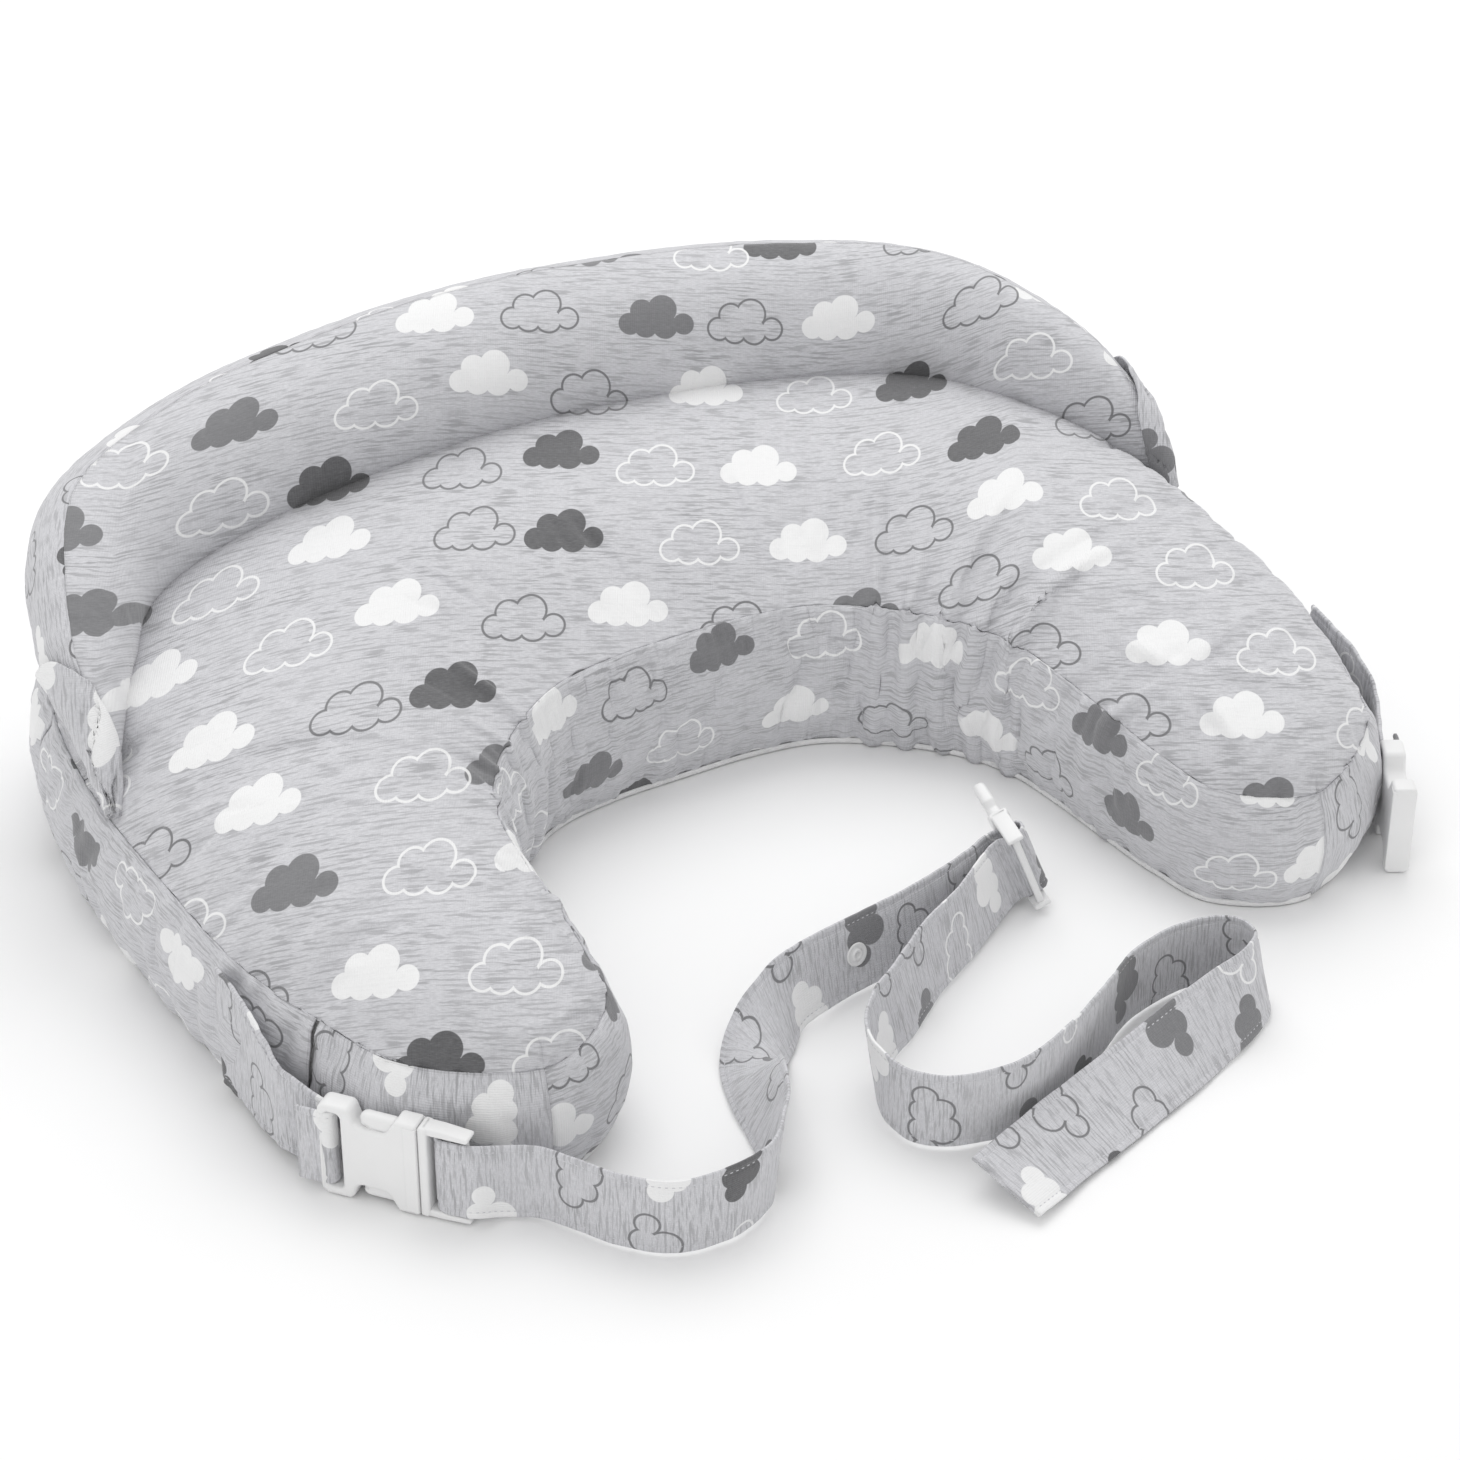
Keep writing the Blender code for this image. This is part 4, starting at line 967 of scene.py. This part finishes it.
def plate(name, outlines, thick, soft, place):
    """A moulded plate with soft edges: the first outline is its rim, the others its holes."""
    curve = bpy.data.curves.new(name, "CURVE")
    curve.dimensions = "2D"
    curve.fill_mode = "BOTH"
    curve.bevel_depth = soft
    curve.bevel_resolution = 3
    curve.extrude = thick / 2 - soft
    for outline in outlines:
        spline = curve.splines.new("POLY")
        spline.points.add(len(outline) - 1)
        for point, p in zip(spline.points, outline):
            point.co = (p[0], p[1], 0.0, 1.0)
        spline.use_cyclic_u = True
    curve.offset = -soft
    obj = add_object(name, curve)
    mesh = baked(obj)
    bpy.data.objects.remove(obj, do_unlink=True)
    # The outline's own plane is X and Z of the buckle.
    stand = Matrix(((1, 0, 0, 0), (0, 0, 1, 0), (0, 1, 0, 0), (0, 0, 0, 1)))
    mesh.transform(place @ stand)
    weld(mesh, 1e-5)
    mesh.materials.clear()
    mesh.materials.append(PLASTIC)
    mesh.shade_smooth()
    mesh.set_sharp_from_angle(angle=math.radians(42))
    done = add_object(name, mesh)
    return done


def mirrored(half):
    """Corners of a half outline, at positive Z, followed by the mirrored ones."""
    return list(half) + [(x, -z, r) for x, z, r in reversed(half)]


def make_socket(name, place, body):
    """Socket shell: webbing bar and slot, waisted sides that show the arms, and a mouth."""
    w = BUCKLE_WIDTH / 2
    rim = mirrored([(0.0, w, 0.0045), (0.0165, w, 0.0035), (0.0195, w - 0.0095, 0.0045),
                    (0.0350, w - 0.0095, 0.0050), (0.0405, w, 0.0020),
                    (SOCKET_LENGTH, w, 0.0012)])
    slot = mirrored([(BAR, SLOT_HALF, 0.0028), (0.0118, SLOT_HALF, 0.0028)])
    shell = plate(name + "_shell", [rounded(rim), rounded(slot)[::-1]], BUCKLE_THICK, 0.0020, place)
    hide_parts(name)
    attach(shell, body)
    lip = mirrored([(0.0445, w - 0.0018, 0.0010), (SOCKET_LENGTH + 0.0001, w - 0.0018, 0.0008)])
    collar = plate(name + "_collar", [rounded(lip)], BUCKLE_THICK + 0.0008, 0.0005, place)
    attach(collar, body)


def make_plug(name, place, bars, middle, body):
    """Plug: a shoulder block, two rails that taper along the belt, the bars and the tongue."""
    w = BUCKLE_WIDTH / 2 - 0.0004
    start = SOCKET_LENGTH + 0.0004
    end = bars[-1] + BAR + 0.0030
    rim = mirrored([(start, w, 0.0016), (start + 0.0048, w, 0.0016)])
    block = plate(name + "_shoulder", [rounded(rim)], BUCKLE_THICK - 0.0014, 0.0014, place)
    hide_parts(name)
    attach(block, body)
    for side, sign in (("upper", 1), ("lower", -1)):
        rail = [(start + 0.0010, w, 0.0014), (start + 0.0110, w, 0.0060), (end, w - 0.0012, 0.0012),
                (end - 0.0022, SLOT_HALF + 0.0001, 0.0012), (start + 0.0010, SLOT_HALF - 0.0002, 0.0012)]
        outline = rounded([(x, sign * z, r) for x, z, r in rail])
        piece = plate("%s_rail_%s" % (name, side), [outline], BUCKLE_THICK - 0.0030, 0.0011, place)
        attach(piece, body)
    lift = Matrix.Translation((0.0, middle, 0.0))
    for k, x in enumerate(bars):
        bar = mirrored([(x, SLOT_HALF + 0.0012, 0.0010), (x + BAR, SLOT_HALF + 0.0012, 0.0010)])
        piece = plate("%s_bar_%d" % (name, k), [rounded(bar, 2)], 0.0038, 0.0009, place @ lift)
        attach(piece, body)
    guide = mirrored([(0.0250, 0.0042, 0.0030), (start + 0.0010, 0.0050, 0.0008)])
    tongue = plate(name + "_guide", [rounded(guide)], 0.0056, 0.0012, place)
    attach(tongue, body)


def make_arms(name, place, body):
    """The two springy arms with their rounded pads."""
    pad = BUCKLE_WIDTH / 2 - 0.0022
    for side, sign in (("upper", 1), ("lower", -1)):
        arm = [(SOCKET_LENGTH + 0.0012, 0.0140, 0.0004), (0.0270, 0.0150, 0.0010), (0.0215, 0.0178, 0.0016),
               (0.0205, pad - 0.0012, 0.0026), (0.0240, pad, 0.0030), (0.0386, pad, 0.0020),
               (0.0412, 0.0206, 0.0016), (SOCKET_LENGTH + 0.0012, 0.0206, 0.0004)]
        outline = rounded([(x, sign * z, r) for x, z, r in arm], 4)
        piece = plate("%s_arm_%s_pad" % (name, side), [outline], 0.0068, 0.0026, place)
        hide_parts("%s_arm_%s" % (name, side))
        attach(piece, "%s_arm_%s" % (body, side))


make_socket("socket_left", LEFT_SOCKET, "left_socket")
make_socket("socket_right", RIGHT_SOCKET, "right_socket")
make_plug("plug_left", LEFT_SOCKET, FIXED_BARS, FIXED_BAR_Y, "belt_and_plugs")
make_plug("plug_right", LADDER, LADDER_BARS, 0.0, "belt_and_plugs")
make_arms("plug_left", LEFT_SOCKET, "left")
make_arms("plug_right", LADDER, "right")


# ---------------------------------------------------------------- belt and straps
def smooth_path(points, widths, spacing):
    """Catmull-Rom through control points; the width axis turns evenly between them."""
    pts = [np.array(p) for p in points]
    ws = [np.array(w) for w in widths]
    pts = [2 * pts[0] - pts[1]] + pts + [2 * pts[-1] - pts[-2]]
    path, axes = [], []
    for i in range(1, len(pts) - 2):
        steps = max(1, int(math.ceil(np.linalg.norm(pts[i + 1] - pts[i]) / spacing)))
        for k in range(steps):
            t = k / steps
            path.append(catmull(pts[i - 1], pts[i], pts[i + 1], pts[i + 2], t))
            ease = t * t * (3 - 2 * t) * 0.5 + t * 0.5
            w = ws[i - 1] * (1 - ease) + ws[i] * ease
            axes.append(w / np.linalg.norm(w))
    path.append(pts[-2])
    axes.append(ws[-1] / np.linalg.norm(ws[-1]))
    return np.array(path), np.array(axes)


def wrap_points(place, centre_x, centre_y, start, end, steps):
    """Points on an arc in a buckle's X-Y plane, about one of its bars."""
    out = []
    for k in range(steps + 1):
        a = math.radians(start + (end - start) * k / steps)
        local = Vector((centre_x + LOOP_RADIUS * math.cos(a), centre_y + LOOP_RADIUS * math.sin(a), 0.0))
        out.append(tuple(place @ local))
    return out


def lean_axis(heading, roll):
    """Width axis of a belt that runs along a heading and is rolled to its right."""
    right = Vector((heading[1], -heading[0], 0.0)).normalized()
    a = math.radians(roll)
    return Vector((0, 0, 1)) * math.cos(a) + right * math.sin(a)


def belt_route():
    """The belt's control points and width axes, in order from the left plug."""
    up = Vector((0, 0, 1))
    bar_x = FIXED_BARS[0] + BAR / 2
    points = [LEFT_SOCKET @ Vector((bar_x + x, FIXED_BAR_Y + LOOP_RADIUS, 0.0))
              for x in (0.0060, 0.0020)]
    points += [Vector(p) for p in wrap_points(LEFT_SOCKET, bar_x, FIXED_BAR_Y, 90, 270, 6)]
    points += [LEFT_SOCKET @ Vector((bar_x + x, y, 0.0)) for x, y in
               ((0.0030, -0.0039), (0.0080, -0.0039), (0.0150, -0.0030))]
    widths = [up] * len(points)

    def stand(x, y, axis):
        z = max(abs(axis.z) * BELT_WIDTH / 2, 0.010) + FLOOR_GAP + BELT_THICK / 2
        points.append(Vector((PLUG_END.x + x, PLUG_END.y + y, z)))
        widths.append(axis)

    def floor(run):
        for i, (x, y, roll) in enumerate(run):
            before = run[max(i - 1, 0)]
            after = run[min(i + 1, len(run) - 1)]
            stand(x, y, lean_axis((after[0] - before[0], after[1] - before[1]), roll))

    floor([(0.014, -0.006, 0), (0.028, -0.015, 0), (0.040, -0.033, 0), (0.051, -0.051, 0),
           (0.071, -0.069, 0), (0.098, -0.073, 0), (0.122, -0.066, 4)])
    for x, y, axis in ((0.136, -0.052, (0.15, 0.05, 0.98)), (0.145, -0.034, (0.35, 0.0, 0.94)),
                       (0.152, -0.014, (0.45, -0.10, 0.88)), (0.158, 0.006, (0.45, -0.45, 0.77)),
                       (0.166, 0.024, (0.35, -0.80, 0.48)), (0.178, 0.037, (0.15, -0.98, -0.10)),
                       (0.193, 0.046, (0.0, -0.75, -0.66)), (0.212, 0.054, (0.0, -0.30, -0.95))):
        stand(x, y, Vector(axis).normalized())
    floor([(0.244, 0.061, 170), (0.276, 0.066, 168), (0.308, 0.073, 168), (0.334, 0.082, 172)])
    mean_x = LADDER_BARS[0] + BAR / 2
    down = -(LADDER.to_3x3() @ up)
    for x, y in ((mean_x - LOOP_RADIUS, -0.0120), (mean_x - LOOP_RADIUS, -0.0030)):
        points.append(LADDER @ Vector((x, y, 0.0)))
        widths.append(down)
    for p in wrap_points(LADDER, mean_x, 0.0035, 180, 0, 5):
        points.append(Vector(p))
        widths.append(down)
    for x, y in ((mean_x + LOOP_RADIUS, -0.0030), (mean_x + LOOP_RADIUS, -0.0120)):
        points.append(LADDER @ Vector((x, y, 0.0)))
        widths.append(down)
    floor([(0.312, 0.056, 192), (0.282, 0.040, 194), (0.251, 0.018, 196), (0.233, 0.007, 194),
           (0.216, -0.008, 190), (0.207, -0.025, 186), (0.205, -0.042, 182), (0.209, -0.057, 180),
           (0.223, -0.069, 180), (0.247, -0.075, 180), (0.270, -0.072, 180), (0.300, -0.060, 180),
           (0.328, -0.045, 180), (0.353, -0.031, 180), (0.380, -0.024, 180), (0.401, -0.025, 181),
           (0.415, -0.032, 184), (0.421, -0.046, 190), (0.410, -0.060, 200), (0.377, -0.070, 216),
           (0.328, -0.084, 232), (0.270, -0.100, 244), (0.221, -0.117, 252)])
    return [tuple(p) for p in points], [tuple(w) for w in widths]


# Columns across a strap, close together at the stitched edges.
SHARES = (0.0, 0.010, 0.026, 0.046, 0.066, 0.084, 0.104, 0.130, 0.22, 0.36, 0.5)
SHARES = SHARES + tuple(1 - f for f in SHARES[-2::-1])
ACROSS = len(SHARES)
SEAM_COLUMN = 5
STITCH_RADIUS = 0.00028
STITCH_STEP = 0.0032
STITCH_SHARE = 0.68         # of a step that thread covers
SNAP_SIDES = 40


def strap(name, path, axes, width, thick, seed, ripple=0.0005, low=None, high=None):
    """A flat strap of two plies, stitched along both edges: a closed skin round it."""
    count = len(path)
    ahead = np.gradient(path, axis=0)
    ahead /= np.linalg.norm(ahead, axis=1, keepdims=True)
    side = np.cross(ahead, axes)
    side /= np.linalg.norm(side, axis=1, keepdims=True)
    run = run_length(path)
    low = np.full(count, -width / 2) if low is None else low
    high = np.full(count, width / 2) if high is None else high
    grid = np.empty((count, 2 * ACROSS + 1, 3))
    uvs = np.empty((count, 2 * ACROSS + 1, 2))
    for i in range(count):
        wide = high[i] - low[i]
        waver = [0.0005 * lump(run[i] * 45, e, seed, 1.0, 8) for e in (0.0, 5.0)]
        for j in range(2 * ACROSS + 1):
            face = 1 if j < ACROSS or j == 2 * ACROSS else -1
            f = SHARES[j % (2 * ACROSS) if j < ACROSS or j == 2 * ACROSS else 2 * ACROSS - 1 - j]
            reach = low[i] + wide * f + (waver[0] * (1 - f) + waver[1] * f)
            edge = min(f, 1 - f) * wide
            puff = 0.0007 * lump(run[i] * 110, f * 4.0, seed + face, 1.0, 3)
            fat = thick / 2 * (0.62 + 0.38 * min(1.0, edge / 0.0008))
            fat *= 1 - 0.55 * math.exp(-((edge - 0.0036) / 0.0009) ** 2)
            fat += max(0.0, puff) * math.exp(-((edge - 0.0066) / 0.003) ** 2)
            wave = ripple * (lump(run[i] * 60, f * 1.5, seed, 1.0, 1)
                             + 0.6 * lump(run[i] * 170, f * 3, 4.0, 1.0, 2))
            grid[i, j] = path[i] + axes[i] * reach + side[i] * (face * fat + wave)
            uvs[i, j] = (reach + 0.05 * seed, run[i])
    obj = grid_mesh(name, grid, uvs, PRINT)
    weld(obj.data, 1e-6, sides=2 * ACROSS + 2)
    obj.data.shade_smooth()
    return obj, grid, side, run


def stitch_rows(name, lines, body):
    """Rows of short stitches: each line is (points, lifts), sampled at even distances."""
    bm = bmesh.new()
    for points, lifts in lines:
        run = run_length(points)
        for start in np.arange(0.002, run[-1] - STITCH_STEP, STITCH_STEP):
            ends = []
            for d in (start, start + STITCH_STEP * STITCH_SHARE):
                p = np.array([np.interp(d, run, points[:, k]) for k in range(3)])
                n = np.array([np.interp(d, run, lifts[:, k]) for k in range(3)])
                ends.append((p, n / np.linalg.norm(n)))
            (a, na), (b, nb) = ends
            along = (b - a) / np.linalg.norm(b - a)
            wide = np.cross(along, na) * STITCH_RADIUS
            rows = []
            for t, h in ((0.0, -0.6), (0.25, 0.75), (0.75, 0.75), (1.0, -0.6)):
                c = a + (b - a) * t
                edge = na * STITCH_RADIUS * (h - 0.4)
                rows.append([bm.verts.new(c + wide + edge),
                             bm.verts.new(c + na * STITCH_RADIUS * h),
                             bm.verts.new(c - wide + edge)])
            for r0, r1 in zip(rows[:-1], rows[1:]):
                bm.faces.new((r0[0], r0[1], r1[1], r1[0]))
                bm.faces.new((r0[1], r0[2], r1[2], r1[1]))
    mesh = bpy.data.meshes.new(name)
    bm.to_mesh(mesh)
    bm.free()
    mesh.materials.append(STITCH)
    mesh.shade_smooth()
    obj = add_object(name, mesh)
    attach(obj, body)
    return obj


def edge_lines(grid, side):
    """Stitch lines on both faces of a strap."""
    out = []
    for j in (SEAM_COLUMN, ACROSS - 1 - SEAM_COLUMN):
        out.append((grid[:, j], side))
        out.append((grid[:, 2 * ACROSS - 1 - j], -side))
    return out


def make_snap(point, out):
    """The snap's ring on the belt's face, turned from its section about the axis out."""
    section = [(0.0, 0.0), (0.0016, 0.0), (0.0018, 0.0013), (0.0026, 0.0014), (0.0032, 0.0010),
               (0.0034, 0.0003), (0.0048, 0.0004), (0.0056, 0.0009), (0.0062, 0.0008), (0.0064, 0.0001)]
    turn = Vector((0, 0, 1)).rotation_difference(out).to_matrix().to_4x4()
    place = Matrix.Translation(point + out * (BELT_THICK / 2 + 0.0001)) @ turn
    bm = bmesh.new()
    rows = []
    for r, h in section:
        rows.append([bm.verts.new(place @ Vector((r * math.cos(a), r * math.sin(a), h)))
                     for a in np.linspace(0, 2 * math.pi, SNAP_SIDES, endpoint=False)])
    for r0, r1 in zip(rows[:-1], rows[1:]):
        for i in range(SNAP_SIDES):
            after = (i + 1) % SNAP_SIDES
            bm.faces.new((r0[i], r0[after], r1[after], r1[i]))
    bmesh.ops.remove_doubles(bm, verts=bm.verts, dist=1e-6)
    mesh = bpy.data.meshes.new("snap_ring")
    bm.to_mesh(mesh)
    bm.free()
    mesh.materials.append(PLASTIC)
    mesh.shade_smooth()
    snap = add_object("snap_ring", mesh)
    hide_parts("snap_socket")
    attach(snap, "belt_and_plugs")
    return snap


def make_belt():
    """The belt, stitched along both edges, with its snap."""
    points, widths = belt_route()
    path, axes = smooth_path(points, widths, 0.0032)
    belt, grid, side, run = strap("belt_strap", path, axes, BELT_WIDTH - 0.0004, BELT_THICK * 0.92, 3.0)
    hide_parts("belt")
    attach(belt, "belt_and_plugs")
    stitches = stitch_rows("belt_stitches", edge_lines(grid, side), "belt_and_plugs")
    target = np.array([PLUG_END.x + 0.250, PLUG_END.y + 0.062])
    k = int(np.argmin(np.hypot(path[:, 0] - target[0], path[:, 1] - target[1])))
    snap = make_snap(Vector(path[k]), Vector(-side[k]))


def make_anchor(name, side_sign, place):
    """The end of the side band: it leaves the wall, gathers, and loops round the socket's bar."""
    facing = 1 if side_sign < 0 else -1
    points, lows, highs = [], [], []
    for station, out, low, high in ((6.95, 0.0014, -0.022, 0.049), (7.20, 0.0032, -0.022, 0.047),
                                    (7.45, 0.0072, -0.022, 0.043), (7.68, 0.0115, -0.0215, 0.036),
                                    (7.88, 0.0140, -0.0210, 0.0275)):
        point, normal = outer_at(side_sign * station)
        plan = point + normal * (WALL_BULGE + out)
        points.append((plan[0], plan[1] + Y_SHIFT, SOCKET_Z))
        lows.append(low)
        highs.append(high)
    loop = wrap_points(place, BAR / 2, 0.0, facing * 115, facing * -115, 6)
    back = [tuple(place @ Vector((BAR / 2 - x, facing * -y, 0.0)))
            for x, y in ((0.006, LOOP_RADIUS), (0.013, 0.0044))]
    points += loop + back
    lows += [-0.0212] * (len(loop) + 2)
    highs += [0.0212] * (len(loop) + 2)
    path, axes = smooth_path(points, [(0, 0, 1)] * len(points), 0.0022)
    where = run_length(np.array(points))
    run = run_length(path)
    run = run * where[-1] / run[-1]
    low, high = np.interp(run, where, lows), np.interp(run, where, highs)
    obj, grid, side, _ = strap(name + "_band", path, axes, BELT_WIDTH, 0.0022, 5.0 + side_sign, 0.0009,
                               low, high)
    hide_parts(name)
    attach(obj, "pillow")
    stitch_rows(name + "_stitches", edge_lines(grid, side), "pillow")


make_belt()
make_anchor("anchor_strap_left", -1, LEFT_SOCKET)
make_anchor("anchor_strap_right", 1, RIGHT_SOCKET)


# ---------------------------------------------------------------- floor and light
def make_stage():
    """A plain pale floor, a big soft light overhead and a weaker one in front."""
    bpy.ops.mesh.primitive_plane_add(size=14.0, location=(0.0, 0.0, -0.0002))
    floor = bpy.context.object
    floor.name = "floor"
    t = Tree("floor_paper")
    tone = t.noise(t.place(), 3.0, 2.0)
    floor.data.materials.append(t.finish(t.mix(tone, grey(0.92, 1.0), grey(0.94, 1.0)), 0.9, None, 0.0, 0.1))
    world = bpy.data.worlds.new("studio")
    bpy.context.scene.world = world
    world.use_nodes = True
    world.node_tree.nodes["Background"].inputs["Color"].default_value = (1.0, 1.0, 1.0, 1.0)
    world.node_tree.nodes["Background"].inputs["Strength"].default_value = 0.82
    for name, place, energy, size in (("key", (0.5, 1.0, 2.3), 26.0, 2.2),
                                      ("fill", (-1.8, -1.2, 1.6), 5.0, 2.0)):
        data = bpy.data.lights.new(name, "AREA")
        data.energy = energy
        data.size = size
        lamp = add_object(name, data)
        lamp.location = place
        lamp.rotation_euler = (TARGET - Vector(place)).to_track_quat("-Z", "Y").to_euler()


make_stage()
